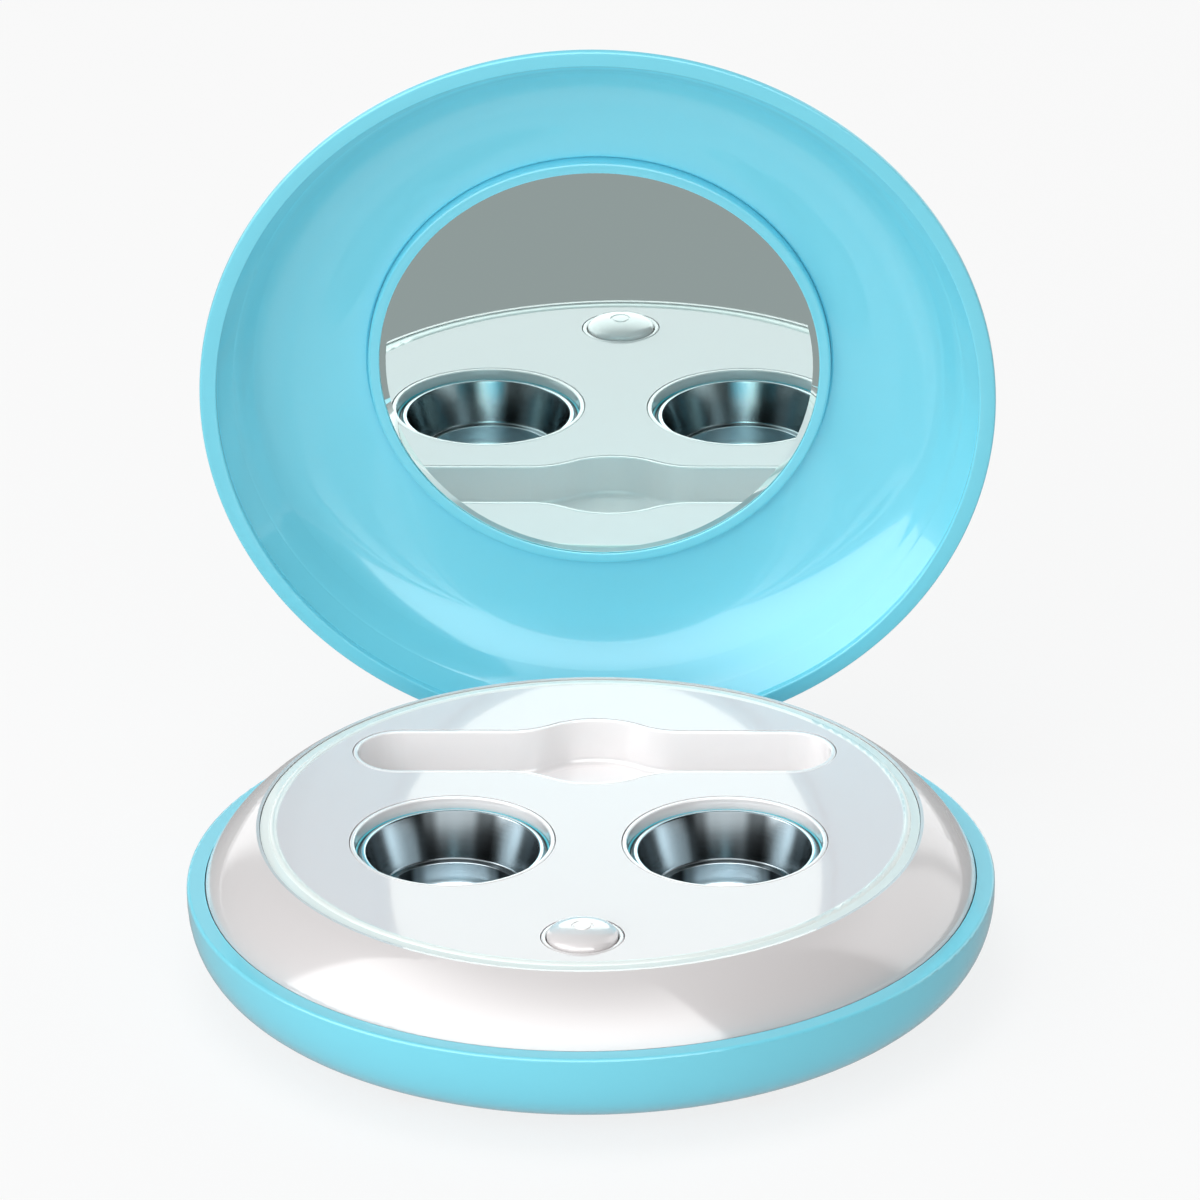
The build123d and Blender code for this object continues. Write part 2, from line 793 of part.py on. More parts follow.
# Screws from below that pull the dish and the white moulding together
with BuildPart() as body_screws:
    with BuildSketch(Plane.XY.offset(screw_seat_z)):
        with Locations(boss_places):
            Circle(screw_head_radius)
    extrude(amount=-screw_head)
    with BuildSketch(Plane.XY.offset(screw_seat_z)):
        with Locations(boss_places):
            Circle(screw_radius)
    extrude(amount=boss_split_z + screw_reach - screw_seat_z)
save(body_screws, "body_screws")


# Hinge bracket: foot, closing wall and two blocks that hold the pin
with BuildPart() as hinge_bracket:
    block_depth = rim_radius - bracket_wall_y
    block_top_z = parting_z - bracket_top_drop
    with BuildSketch(Plane.XY.offset(foot_under_z)):
        with Locations((0, (bracket_foot_y + bracket_wall_y + bracket_wall) / 2)):
            Rectangle(bracket_width, bracket_wall_y + bracket_wall - bracket_foot_y)
    extrude(amount=bracket_foot)
    with BuildSketch(Plane.XY.offset(foot_under_z)):
        with Locations((0, bracket_wall_y + bracket_wall / 2)):
            Rectangle(bracket_width, bracket_wall)
    extrude(amount=block_top_z - foot_under_z)
    for side in (-1, 1):
        block_plane = Plane.YZ.offset(side * block_inner)
        with BuildSketch(block_plane):
            with BuildLine():
                Polyline(
                    (bracket_wall_y, block_top_z),
                    (bracket_wall_y, hinge_z - knuckle_radius),
                    (hinge_y, hinge_z - knuckle_radius),
                )
                RadiusArc(
                    (hinge_y, hinge_z - knuckle_radius),
                    (hinge_y + knuckle_radius, hinge_z),
                    -knuckle_radius,
                )
                Line((hinge_y + knuckle_radius, hinge_z), (hinge_y + knuckle_radius, block_top_z))
                Line((hinge_y + knuckle_radius, block_top_z), (bracket_wall_y, block_top_z))
            make_face()
        extrude(amount=side * (bracket_half - block_inner))
    upper_back = hinge_bracket.edges().filter_by(Axis.X).group_by(Axis.Z)[-1].sort_by(Axis.Y)[-2:]
    fillet(upper_back, bracket_corner)
    # The blocks end on the dish's own round
    with BuildSketch(Plane.XY.offset(foot_under_z)):
        Circle(rim_radius)
    extrude(amount=shell_depth, mode=Mode.INTERSECT)
    with BuildSketch(Plane.YZ.offset(-bracket_half)):
        with Locations((hinge_y, hinge_z)):
            Circle(pin_radius)
    extrude(amount=bracket_width, mode=Mode.SUBTRACT)
    with BuildSketch(Plane.XY.offset(foot_under_z)):
        with Locations(hinge_screw_places):
            Circle(hinge_screw_radius + screw_gap)
    extrude(amount=bracket_foot, mode=Mode.SUBTRACT)
save(hinge_bracket, "hinge_bracket")

with BuildPart() as hinge_screws:
    with BuildSketch(Plane.XY.offset(foot_top_z)):
        with Locations(hinge_screw_places):
            Circle(hinge_screw_head_radius)
    extrude(amount=hinge_screw_head)
    with BuildSketch(Plane.XY.offset(foot_top_z)):
        with Locations(hinge_screw_places):
            Circle(hinge_screw_radius)
    extrude(amount=-hinge_screw_length)
save(hinge_screws, "hinge_screws")

with BuildPart() as hinge_pin:
    with BuildSketch(Plane.YZ.offset(-bracket_half)):
        with Locations((hinge_y, hinge_z)):
            Circle(pin_radius)
    extrude(amount=bracket_width)
save(hinge_pin, "hinge_pin")


# Lid: one moulding with a stepped rim, a bowl, a mirror recess and the hinge lug
lid_inner_radius = rim_radius - lid_rim_band
recess_depth = mirror_face_depth + mirror_thickness + mirror_pad
with BuildPart() as lid_shell:
    with BuildSketch(lid_section):
        with BuildLine():
            Line((lid_inner_radius, 0), (rim_radius, 0))
            Line((rim_radius, 0), (rim_radius, lid_side))
            Bezier(
                (rim_radius, lid_side),
                (rim_radius - lid_flank_pull[0], lid_side + lid_flank_pull[1]),
                (lid_shoulder_radius + lid_brow_pull[0], lid_shoulder_height - lid_brow_pull[1]),
                (lid_shoulder_radius, lid_shoulder_height),
            )
            Spline(
                (lid_shoulder_radius, lid_shoulder_height),
                (0, lid_height),
                tangents=[(-lid_brow_pull[0], lid_brow_pull[1]), (-1, 0)],
            )
            Polyline(
                (0, lid_height),
                (0, recess_depth),
                (ring_radius, recess_depth),
                (ring_radius, bowl_depth),
            )
            bowl_edge_radius = second_step_radius - step_shelf
            Bezier(
                (ring_radius, bowl_depth),
                (ring_radius + bowl_pull[0], bowl_depth),
                (bowl_edge_radius - bowl_pull[1], second_step_depth + bowl_pull[1]),
                (bowl_edge_radius, second_step_depth),
            )
            Polyline(
                (bowl_edge_radius, second_step_depth),
                (second_step_radius, second_step_depth),
                (first_step_radius - step_shelf, first_step_depth),
                (first_step_radius, first_step_depth),
                (lid_inner_radius, inner_side),
                (lid_inner_radius, 0),
            )
        make_face()
    revolve(axis=lid_axis)
    rim_edges = lid_shell.edges().filter_by(GeomType.CIRCLE).sort_by(SortBy.RADIUS)[-2:]
    fillet(rim_edges.sort_by(lid_axis)[0], rim_round)
    # Lug: a web from the rim's underside to the barrel round the pin
    with BuildSketch(lug_section.offset(-lug_half)):
        with BuildLine():
            web_inner = lid_inner_radius - hinge_y
            web_outer = knuckle_radius
            web_root = hinge_drop + closing_gap + inner_side
            Polyline(
                (web_inner, web_root),
                (web_outer, web_root),
                (web_outer, 0),
                (-web_outer, 0),
                (web_inner, knuckle_radius + web_taper),
                (web_inner, web_root),
            )
        make_face()
        Circle(knuckle_radius)
    extrude(amount=lug_width)
    with BuildSketch(lug_section.offset(-lug_half)):
        Circle(pin_radius + pin_gap)
    extrude(amount=lug_width, mode=Mode.SUBTRACT)
save(lid_shell, "lid_shell")


# Mirror on its foam pad, framed by a snap-in ring
with BuildPart() as mirror_ring:
    with BuildSketch(lid_section):
        ring_outer = ring_radius - mirror_gap
        ring_bore = mirror_radius + mirror_gap
        ring_face = mirror_face_depth - ring_lip
        with BuildLine():
            Polyline(
                (ring_outer, recess_depth),
                (ring_bore, recess_depth),
                (ring_bore, mirror_face_depth),
                (ring_inner_radius, mirror_face_depth),
                (ring_inner_radius, ring_face),
                (ring_outer, ring_face),
                (ring_outer, recess_depth),
            )
        make_face()
    revolve(axis=lid_axis)
    face_edges = mirror_ring.edges().filter_by(GeomType.CIRCLE).sort_by(lid_axis)[:2]
    fillet(face_edges.sort_by(SortBy.RADIUS)[-1], ring_round)
save(mirror_ring, "mirror_ring")

with BuildPart() as mirror_glass:
    with BuildSketch(lid_across.offset(mirror_face_depth)):
        Circle(mirror_radius)
    extrude(amount=mirror_thickness)
save(mirror_glass, "mirror")

with BuildPart() as mirror_backing:
    with BuildSketch(lid_across.offset(mirror_face_depth + mirror_thickness)):
        Circle(mirror_radius - mirror_pad_inset)
    extrude(amount=mirror_pad)
save(mirror_backing, "mirror_pad")
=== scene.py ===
import json
import bmesh
import bpy
from math import asin, cos, pi, radians, sin, sqrt, tan
from mathutils import Matrix, Vector


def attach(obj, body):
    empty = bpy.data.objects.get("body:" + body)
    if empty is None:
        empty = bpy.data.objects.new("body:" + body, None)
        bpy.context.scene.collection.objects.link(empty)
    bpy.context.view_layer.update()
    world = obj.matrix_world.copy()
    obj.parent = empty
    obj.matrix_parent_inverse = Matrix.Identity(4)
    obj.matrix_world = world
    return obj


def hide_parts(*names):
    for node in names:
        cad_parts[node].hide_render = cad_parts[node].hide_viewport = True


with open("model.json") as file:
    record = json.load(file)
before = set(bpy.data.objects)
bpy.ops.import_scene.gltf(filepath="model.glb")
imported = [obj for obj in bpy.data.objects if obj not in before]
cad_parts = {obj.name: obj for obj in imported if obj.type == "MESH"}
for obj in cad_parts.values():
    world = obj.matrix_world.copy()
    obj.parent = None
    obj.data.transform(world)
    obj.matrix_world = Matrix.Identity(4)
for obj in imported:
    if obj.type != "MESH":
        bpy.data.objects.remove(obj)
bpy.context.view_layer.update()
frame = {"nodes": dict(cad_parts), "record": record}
nodes = frame["nodes"]
scene = bpy.context.scene
mm = 0.001
print("frame loaded:", len(nodes), "nodes")


# Small helpers for node trees
def add(tree, kind, inputs=None, **settings):
    made = tree.nodes.new(kind)
    for key, value in settings.items():
        setattr(made, key, value)
    for key, value in (inputs or {}).items():
        if isinstance(value, bpy.types.NodeSocket):
            tree.links.new(value, made.inputs[key])
        else:
            made.inputs[key].default_value = value
    return made


def calc(tree, operation, first, second=0.0):
    return add(tree, "ShaderNodeMath", {0: first, 1: second}, operation=operation).outputs[0]


def openTree(name, kind, inputs, outputs):
    # A node group with named inputs and outputs
    tree = bpy.data.node_groups.new(name, kind)
    for label, socket, value in inputs:
        made = tree.interface.new_socket(label, in_out="INPUT", socket_type=socket)
        if value is not None:
            made.default_value = value
    for label, socket in outputs:
        tree.interface.new_socket(label, in_out="OUTPUT", socket_type=socket)
    return tree, add(tree, "NodeGroupInput").outputs, add(tree, "NodeGroupOutput").inputs


# Camera, at the photograph's viewing angle
cameraView = {
    "distance": 1.5,  # from the middle of the base's rim
    "rimHeight": 0.0116,
    "azimuth": 1.97,
    "elevation": 26.383,
    "roll": -0.756,
    "lens": 413.2,
    "sensor": 36,
    "clip": (0.05, 20),
    "aimRight": 0.000677,  # slope from the rim's middle to the picture's middle
    "aimUp": 0.020006,
}


def makeCamera(view):
    turn, highlightGain, roll = (radians(view[key]) for key in ("azimuth", "elevation", "roll"))
    back = Vector((sin(turn) * cos(highlightGain), -cos(turn) * cos(highlightGain), sin(highlightGain)))
    right = Vector((cos(turn), sin(turn), 0))
    up = back.cross(right)
    rolledRight = right * cos(roll) + up * sin(roll)
    rolledUp = up * cos(roll) - right * sin(roll)
    away = (back - rolledRight * view["aimRight"] - rolledUp * view["aimUp"]).normalized()
    side = rolledUp.cross(away).normalized()
    data = bpy.data.cameras.new("photoCamera")
    data.lens = view["lens"]
    data.sensor_width = view["sensor"]
    data.clip_start, data.clip_end = view["clip"]
    camera = bpy.data.objects.new("photoCamera", data)
    scene.collection.objects.link(camera)
    place = Matrix((side, away.cross(side), away)).transposed().to_4x4()
    place.translation = back * view["distance"] + Vector((0, 0, view["rimHeight"]))
    camera.matrix_world = place
    scene.camera = camera


makeCamera(cameraView)
print("camera set")


# Floor, sky and soft lamps
stageLook = {
    "floorRadius": 6.0,
    "floorSteps": 96,
    "floorColour": 0.80,
    "floorGlow": 0.82,  # share of plain white that the camera and gloss see
    "skyLow": (10.0, 0.50),  # height in degrees and brightness, at the sky's foot and top
    "skyHigh": (60.0, 0.28),
}
# Broad screens round the set, in degrees: middle from the front towards the right, half
# width, soft edge, height to which it is full, height at which it is gone; then how bright
# matt surfaces and gloss see it
screens = {
    "softbox": ((-27, 67, 2.5, 36, 78), 1.26, 3.6),
    "shade": ((70, 30, 2.5, 42, 78), 0.22, 0.05),
    "sideCard": ((122, 20, 4.0, 30, 60), 0.9, 1.5),
    "backdrop": ((180, 34, 4.0, 14, 32), 1.0, 1.6),
}
# Cards that gloss alone sees: middle, half width, half height, grey
cards = {
    "floorCard": ((0, -0.30, 0.0004), (0.7, 0, 0), (0, 0.65, 0), 0.43),
}
# Lamps: place, aim, width and height, watts
lamps = {
    "topBox": ((-0.10, -0.05, 0.90), (0, 0, 0.03), (0.50, 0.50), 2.6),
    "frontBox": ((-0.45, -0.65, 0.30), (0, 0, 0.05), (0.70, 0.50), 1.3),
}


def newMaterial(name):
    made = bpy.data.materials.new(name)
    made.use_nodes = True
    made.node_tree.nodes.clear()
    return made, made.node_tree, add(made.node_tree, "ShaderNodeOutputMaterial").inputs


def makeFloor(look):
    made, tree, out = newMaterial("paleFloor")
    matt = add(tree, "ShaderNodeBsdfDiffuse", {"Color": (*[look["floorColour"]] * 3, 1)})
    glow = add(tree, "ShaderNodeEmission", {"Color": (1, 1, 1, 1)})
    path = add(tree, "ShaderNodeLightPath").outputs
    seen = calc(tree, "MAXIMUM", path["Is Camera Ray"], path["Is Glossy Ray"])
    seen = calc(tree, "MAXIMUM", seen, path["Is Transmission Ray"])
    share = calc(tree, "MULTIPLY", seen, look["floorGlow"])
    mixed = add(tree, "ShaderNodeMixShader", {0: share, 1: matt.outputs[0], 2: glow.outputs[0]})
    tree.links.new(mixed.outputs[0], out["Surface"])
    steps = look["floorSteps"]
    ring = [(look["floorRadius"] * cos(2 * pi * k / steps),
             look["floorRadius"] * sin(2 * pi * k / steps), 0) for k in range(steps)]
    mesh = bpy.data.meshes.new("floor")
    mesh.from_pydata(ring, [], [range(steps)])
    mesh.materials.append(made)
    floor = bpy.data.objects.new("floor", mesh)
    scene.collection.objects.link(floor)


def makeCards(plan):
    for name, (middle, across, upward, grey) in plan.items():
        made, tree, out = newMaterial(name)
        glow = add(tree, "ShaderNodeEmission", {"Color": (grey, grey, grey, 1)})
        tree.links.new(glow.outputs[0], out["Surface"])
        corners = [Vector(middle) + Vector(across) * a + Vector(upward) * b
                   for a, b in ((-1, -1), (1, -1), (1, 1), (-1, 1))]
        mesh = bpy.data.meshes.new(name)
        mesh.from_pydata(corners, [], [range(4)])
        mesh.materials.append(made)
        card = bpy.data.objects.new(name, mesh)
        scene.collection.objects.link(card)
        card.visible_camera = card.visible_diffuse = card.visible_shadow = False


def makeSky(look, plan):
    world = bpy.data.worlds.new("studio")
    scene.world = world
    world.use_nodes = True
    tree = world.node_tree
    tree.nodes.clear()
    degree = 180 / pi

    def ramp(value, start, end, low=0.0, high=1.0):
        return add(tree, "ShaderNodeMapRange", {
            "Value": value, "From Min": start, "From Max": end, "To Min": low, "To Max": high},
            interpolation_type="SMOOTHSTEP").outputs[0]

    def blend(first, second, share):
        gap = calc(tree, "SUBTRACT", second, first)
        return calc(tree, "ADD", first, calc(tree, "MULTIPLY", gap, share))

    way = add(tree, "ShaderNodeTexCoord").outputs["Generated"]
    axes = add(tree, "ShaderNodeSeparateXYZ", {0: way}).outputs
    height = calc(tree, "MULTIPLY", calc(tree, "ARCSINE", axes["Z"]), degree)
    turn = calc(tree, "ARCTAN2", axes["X"], calc(tree, "MULTIPLY", axes["Y"], -1.0))
    turn = calc(tree, "MULTIPLY", turn, degree)
    (foot, low), (top, high) = look["skyLow"], look["skyHigh"]
    matt = gloss = ramp(height, foot, top, low, high)
    for (middle, half, soft, full, gone), mattLight, glossLight in plan.values():
        away = add(tree, "ShaderNodeMath", {
            0: calc(tree, "SUBTRACT", turn, middle), 1: 180.0, 2: -180.0}, operation="WRAP")
        side = ramp(calc(tree, "ABSOLUTE", away.outputs[0]), half + soft, half - soft)
        share = calc(tree, "MULTIPLY", side, ramp(height, gone, full))
        matt = blend(matt, mattLight, share)
        gloss = blend(gloss, glossLight, share)
    path = add(tree, "ShaderNodeLightPath").outputs
    bright = blend(matt, gloss, path["Is Glossy Ray"])
    shade = add(tree, "ShaderNodeBackground", {"Color": (1, 1, 1, 1), "Strength": bright})
    plain = add(tree, "ShaderNodeBackground", {"Color": (1, 1, 1, 1)})
    mixed = add(tree, "ShaderNodeMixShader", {
        0: path["Is Camera Ray"], 1: shade.outputs[0], 2: plain.outputs[0]})
    out = add(tree, "ShaderNodeOutputWorld")
    tree.links.new(mixed.outputs[0], out.inputs["Surface"])


def makeLamps(plan):
    for name, (place, aim, size, power) in plan.items():
        data = bpy.data.lights.new(name, "AREA")
        data.shape = "RECTANGLE"
        data.size, data.size_y = size
        data.energy = power
        lamp = bpy.data.objects.new(name, data)
        scene.collection.objects.link(lamp)
        away = (Vector(place) - Vector(aim)).normalized()
        lamp.location = place
        lamp.rotation_euler = away.to_track_quat("Z", "Y").to_euler()
        lamp.visible_glossy = False


scene.view_settings.view_transform = "Standard"
makeFloor(stageLook)
makeCards(cards)
makeSky(stageLook, screens)
makeLamps(lamps)
print("stage and lamps set")


# Shader groups that several finishes share
def skinGroup():
    # Moulded plastic: colour drift, uneven gloss and the faint waviness of a moulding
    tree, given, out = openTree("mouldedSkin", "ShaderNodeTree", [
        ("Colour", "NodeSocketColor", (1, 1, 1, 1)), ("Drift", "NodeSocketFloat", 0.03),
        ("Roughness", "NodeSocketFloat", 0.3), ("Uneven", "NodeSocketFloat", 0.05),
        ("Grain", "NodeSocketFloat", 1500.0), ("Depth", "NodeSocketFloat", 1e-6)],
        [("Colour", "NodeSocketColor"), ("Roughness", "NodeSocketFloat"),
         ("Normal", "NodeSocketVector")])
    place = add(tree, "ShaderNodeTexCoord").outputs["Object"]
    broad = add(tree, "ShaderNodeTexNoise", {"Vector": place, "Scale": 45.0, "Detail": 2.0})
    fine = add(tree, "ShaderNodeTexNoise", {
        "Vector": place, "Scale": given["Grain"], "Detail": 1.0})
    swing = calc(tree, "SUBTRACT", broad.outputs[0], 0.5)
    shade = calc(tree, "ADD", calc(tree, "MULTIPLY", swing, given["Drift"]), 1.0)
    tinted = add(tree, "ShaderNodeVectorMath", {
        0: given["Colour"], "Scale": shade}, operation="SCALE")
    rough = calc(tree, "ADD", calc(tree, "MULTIPLY", swing, given["Uneven"]), given["Roughness"])
    bump = add(tree, "ShaderNodeBump", {"Height": fine.outputs[0], "Distance": given["Depth"]})
    tree.links.new(tinted.outputs[0], out["Colour"])
    tree.links.new(rough, out["Roughness"])
    tree.links.new(bump.outputs[0], out["Normal"])
    return tree


def paintedHighlightGroup():
    # Painted highlight: lightens a colour along sharp edges, where light would catch them
    tree, given, out = openTree("paintedEdgeHighlight", "ShaderNodeTree", [
        ("Colour", "NodeSocketColor", (1, 1, 1, 1)), ("Width", "NodeSocketFloat", 0.0003),
        ("Lift", "NodeSocketFloat", 0.15)], [("Colour", "NodeSocketColor")])
    soft = add(tree, "ShaderNodeBevel", {"Radius": given["Width"]}, samples=4)
    flat = add(tree, "ShaderNodeNewGeometry").outputs["Normal"]
    facing = add(tree, "ShaderNodeVectorMath", {
        0: soft.outputs[0], 1: flat}, operation="DOT_PRODUCT")
    edge = calc(tree, "SUBTRACT", 1.0, facing.outputs["Value"])
    mask = add(tree, "ShaderNodeMapRange", {"Value": edge, "From Min": 0.01, "From Max": 0.12})
    gain = calc(tree, "ADD", calc(tree, "MULTIPLY", mask.outputs[0], given["Lift"]), 1.0)
    lifted = add(tree, "ShaderNodeVectorMath", {
        0: given["Colour"], "Scale": gain}, operation="SCALE")
    tree.links.new(lifted.outputs[0], out["Colour"])
    return tree


def turnedGroup():
    # Metal turned or drawn about an upright axis: fine rings and a slow change of tone
    tree, given, out = openTree("turnedMetal", "ShaderNodeTree", [
        ("Colour", "NodeSocketColor", (1, 1, 1, 1)), ("Place", "NodeSocketVector", None),
        ("Roughness", "NodeSocketFloat", 0.2), ("Rings", "NodeSocketFloat", 9000.0),
        ("Depth", "NodeSocketFloat", 1e-6), ("Tone", "NodeSocketFloat", 0.1)],
        [("Colour", "NodeSocketColor"), ("Roughness", "NodeSocketFloat"),
         ("Normal", "NodeSocketVector")])
    axes = add(tree, "ShaderNodeSeparateXYZ", {0: given["Place"]}).outputs
    level = add(tree, "ShaderNodeCombineXYZ", {0: axes["X"], 1: axes["Y"]}).outputs[0]
    radius = add(tree, "ShaderNodeVectorMath", {0: level}, operation="LENGTH").outputs["Value"]
    ringPlace = add(tree, "ShaderNodeCombineXYZ", {0: radius, 1: axes["Z"]}).outputs[0]
    rings = add(tree, "ShaderNodeTexNoise", {
        "Vector": ringPlace, "Scale": given["Rings"], "Detail": 2.0})
    way = add(tree, "ShaderNodeVectorMath", {0: level}, operation="NORMALIZE").outputs[0]
    broad = add(tree, "ShaderNodeTexNoise", {"Vector": way, "Scale": 2.2, "Detail": 1.0})
    swing = calc(tree, "MULTIPLY", calc(tree, "SUBTRACT", broad.outputs[0], 0.5), given["Tone"])
    tinted = add(tree, "ShaderNodeVectorMath", {
        0: given["Colour"], "Scale": calc(tree, "ADD", swing, 1.0)}, operation="SCALE")
    unevenGloss = 0.08
    ringSwing = calc(tree, "SUBTRACT", rings.outputs[0], 0.5)
    uneven = calc(tree, "MULTIPLY", ringSwing, unevenGloss)
    bump = add(tree, "ShaderNodeBump", {"Height": rings.outputs[0], "Distance": given["Depth"]})
    tree.links.new(tinted.outputs[0], out["Colour"])
    tree.links.new(calc(tree, "ADD", uneven, given["Roughness"]), out["Roughness"])
    tree.links.new(bump.outputs[0], out["Normal"])
    return tree


# Moulded skin, painted highlight along sharp edges, and turned metal
mouldedSkin, paintedEdgeHighlight, turnedMetal = skinGroup(), paintedHighlightGroup(), turnedGroup()


def useGroup(tree, group, inputs):
    return add(tree, "ShaderNodeGroup", inputs, node_tree=group).outputs


# Plastics, rubber, board and wrap: colour, roughness, coat, coat roughness, drift, grain, depth,
# painted edge highlight
mouldings = {
    "cyan_plastic": ("glossyCyan", (0.19, 0.69, 0.84), 0.30, 0.80, 0.05, 0.03, 1400, 6e-7, 0.22),
    "white_plastic": ("pearlWhite", (0.655, 0.63, 0.63), 0.26, 1.0, 0.02, 0.02, 1200, 5e-7, 0.10),
    "plate_plastic": ("clearPlate", (0.755, 0.72, 0.735), 0.06, 0.0, 0.015, 0.02, 900, 2e-7, 0.16),
    "foam_pad": ("darkFoam", (0.03, 0.03, 0.032), 0.85, 0.0, 0.3, 0.25, 2600, 6e-5, 0.0),
    "seal_rubber": ("sealRubber", (0.09, 0.60, 0.72), 0.38, 0.3, 0.2, 0.06, 2200, 2e-6, 0.1),
    "pad_rubber": ("gripRubber", (0.50, 0.53, 0.55), 0.62, 0.0, 0.3, 0.08, 2600, 8e-6, 0.05),
    "board_laminate": ("boardLaminate", (0.012, 0.12, 0.05), 0.35, 0.5, 0.1, 0.10, 3000, 2e-6, 0.2),
    "black_plastic": ("blackMoulding", (0.014, 0.014, 0.016), 0.45, 0.1, 0.2, 0.1, 2600, 3e-6, 0.4),
    "ferrite": ("ferriteBlack", (0.035, 0.034, 0.036), 0.6, 0.0, 0.3, 0.2, 3000, 8e-6, 0.3),
    "led_lens": ("ledLens", (0.80, 0.79, 0.62), 0.2, 0.8, 0.05, 0.03, 1500, 1e-6, 0.1),
    "disc_ceramic": ("firedSilver", (0.56, 0.54, 0.48), 0.42, 0.0, 0.2, 0.12, 3200, 4e-6, 0.1),
}
# Metals: colour, roughness, ring pitch, depth, change of tone
metals = {
    "pin_steel": ("pinSteel", (0.60, 0.61, 0.62), 0.28, 9000, 1e-6, 0.10),
    "screw_steel": ("screwSteel", (0.50, 0.50, 0.50), 0.34, 8000, 1e-6, 0.15),
    "disc_brass": ("discBrass", (0.62, 0.42, 0.13), 0.30, 6000, 1e-6, 0.20),
    "copper_wire": ("windingCopper", (0.52, 0.20, 0.09), 0.30, 5000, 2e-5, 0.20),
    "cell_wrap": ("foilWrap", (0.52, 0.53, 0.55), 0.36, 2500, 2e-6, 0.15),
}
finishes = {}
coatIndex = {"white_plastic": 1.72}
usualIndex = 1.5
unevenShare = 0.25  # of a moulding's roughness
# Width of the painted highlight along sharp edges
highlightWidth = 0.00025
# Where a second tone begins and is full, by the distance from the upright axis and from the
# front towards the back
tintsAndPaintedLight = {
    "plate_plastic": {
        "from": 0.0339, "full": 0.0343, "front": -0.2, "back": -0.1, "colour": (0.80, 0.87, 0.85)},
    # On the white moulding the second tone is painted light: the tray, the wells and part of the
    # button, which sit in shade, are painted a brighter white
    "white_plastic": {
        "from": 0.0345, "full": 0.0343, "front": -0.05, "back": 0.002,
        "colour": (0.91, 0.88, 0.88)},
}


def tintAndPaintedLight(tree, colour, look):
    # The plate is greener at its rim; on the white moulding, a brighter white inside the plate's
    # radius, fading out towards the front, is painted light on the tray, the wells and part of the
    # button
    place = add(tree, "ShaderNodeTexCoord").outputs["Object"]
    axes = add(tree, "ShaderNodeSeparateXYZ", {0: place}).outputs
    level = add(tree, "ShaderNodeCombineXYZ", {0: axes["X"], 1: axes["Y"]}).outputs[0]
    radius = add(tree, "ShaderNodeVectorMath", {0: level}, operation="LENGTH").outputs["Value"]
    within = add(tree, "ShaderNodeMapRange", {
        "Value": radius, "From Min": look["from"], "From Max": look["full"]}).outputs[0]
    behind = add(tree, "ShaderNodeMapRange", {
        "Value": axes["Y"], "From Min": look["front"], "From Max": look["back"]}).outputs[0]
    share = calc(tree, "MULTIPLY", within, behind)
    mixed = add(tree, "ShaderNodeMix", {0: share}, data_type="RGBA")
    first, second, outcome = 6, 7, 2  # the Mix node's colour sockets
    mixed.inputs[first].default_value = (*colour, 1)
    mixed.inputs[second].default_value = (*look["colour"], 1)
    return mixed.outputs[outcome]


for slot, (name, colour, rough, coat, coatRough, drift, grain, depth, highlightGain) in mouldings.items():
    made, tree, out = newMaterial(name)
    tone = tintAndPaintedLight(tree, colour, tintsAndPaintedLight[slot]) if slot in tintsAndPaintedLight else (*colour, 1)
    skin = useGroup(tree, mouldedSkin, {
        "Colour": tone, "Drift": drift, "Roughness": rough,
        "Uneven": rough * unevenShare, "Grain": grain, "Depth": depth})
    # Painted highlight along sharp edges
    highlighted = useGroup(tree, paintedEdgeHighlight, {"Colour": skin["Colour"], "Width": highlightWidth, "Lift": highlightGain})
    shader = add(tree, "ShaderNodeBsdfPrincipled", {
        "Base Color": highlighted["Colour"], "Roughness": skin["Roughness"],
        "Normal": skin["Normal"], "Coat Weight": coat, "Coat Roughness": coatRough,
        "Coat IOR": coatIndex.get(slot, usualIndex)})
    tree.links.new(shader.outputs[0], out["Surface"])
    finishes[slot] = made
for slot, (name, colour, rough, pitch, depth, tone) in metals.items():
    made, tree, out = newMaterial(name)
    place = add(tree, "ShaderNodeTexCoord").outputs["Object"]
    spun = useGroup(tree, turnedMetal, {
        "Colour": (*colour, 1), "Place": place, "Roughness": rough, "Rings": pitch,
        "Depth": depth, "Tone": tone})
    shader = add(tree, "ShaderNodeBsdfPrincipled", {
        "Base Color": spun["Colour"], "Roughness": spun["Roughness"],
        "Normal": spun["Normal"], "Metallic": 1.0})
    tree.links.new(shader.outputs[0], out["Surface"])
    finishes[slot] = made

# Painted reflections on the spun steel: dark and pale bands down its walls and in its recess, set
# by the turn from the back of the cup, with a painted highlight on the lip and painted shade in the
# groove past it
cupLook = {
    "centre": (0.01477, -0.00506),  # the right-hand cup, whose twin mirrors it
    "colour": (0.77, 0.89, 0.95),
    "roughness": 0.2,
    "recessRoughness": 0.34,
    "rings": 7000,
    "depth": 4e-7,
    "tone": 0.12,
    "mouth": 0.00943,  # distances from the cup's axis, then the ledge's height
    "lipFoot": 0.01001,
    "ledge": 0.01212,
    "border": 0.0001,  # width over which one tone passes into the next
    "lip": 0.70,  # painted brightness of each part: highlight on the lip, shade in the groove; the painted reflections on the walls and in the recess go by share of the half turn from the back
    "groove": 0.07,
    "wall": [(0, 0.19), (0.055, 0.18), (0.10, 0.06), (0.14, 0.07), (0.20, 0.52), (0.27, 0.55),
             (0.36, 0.34), (0.44, 0.24), (0.50, 0.16), (0.58, 0.35), (0.70, 0.2), (0.82, 0.4),
             (0.92, 0.08), (1, 0.35)],
    "recess": [(0, 1.0), (0.13, 0.95), (0.19, 0.35), (0.24, 0.03), (0.29, 0.04), (0.38, 0.45),
               (0.55, 0.3), (0.75, 0.75), (1, 0.85)],
}


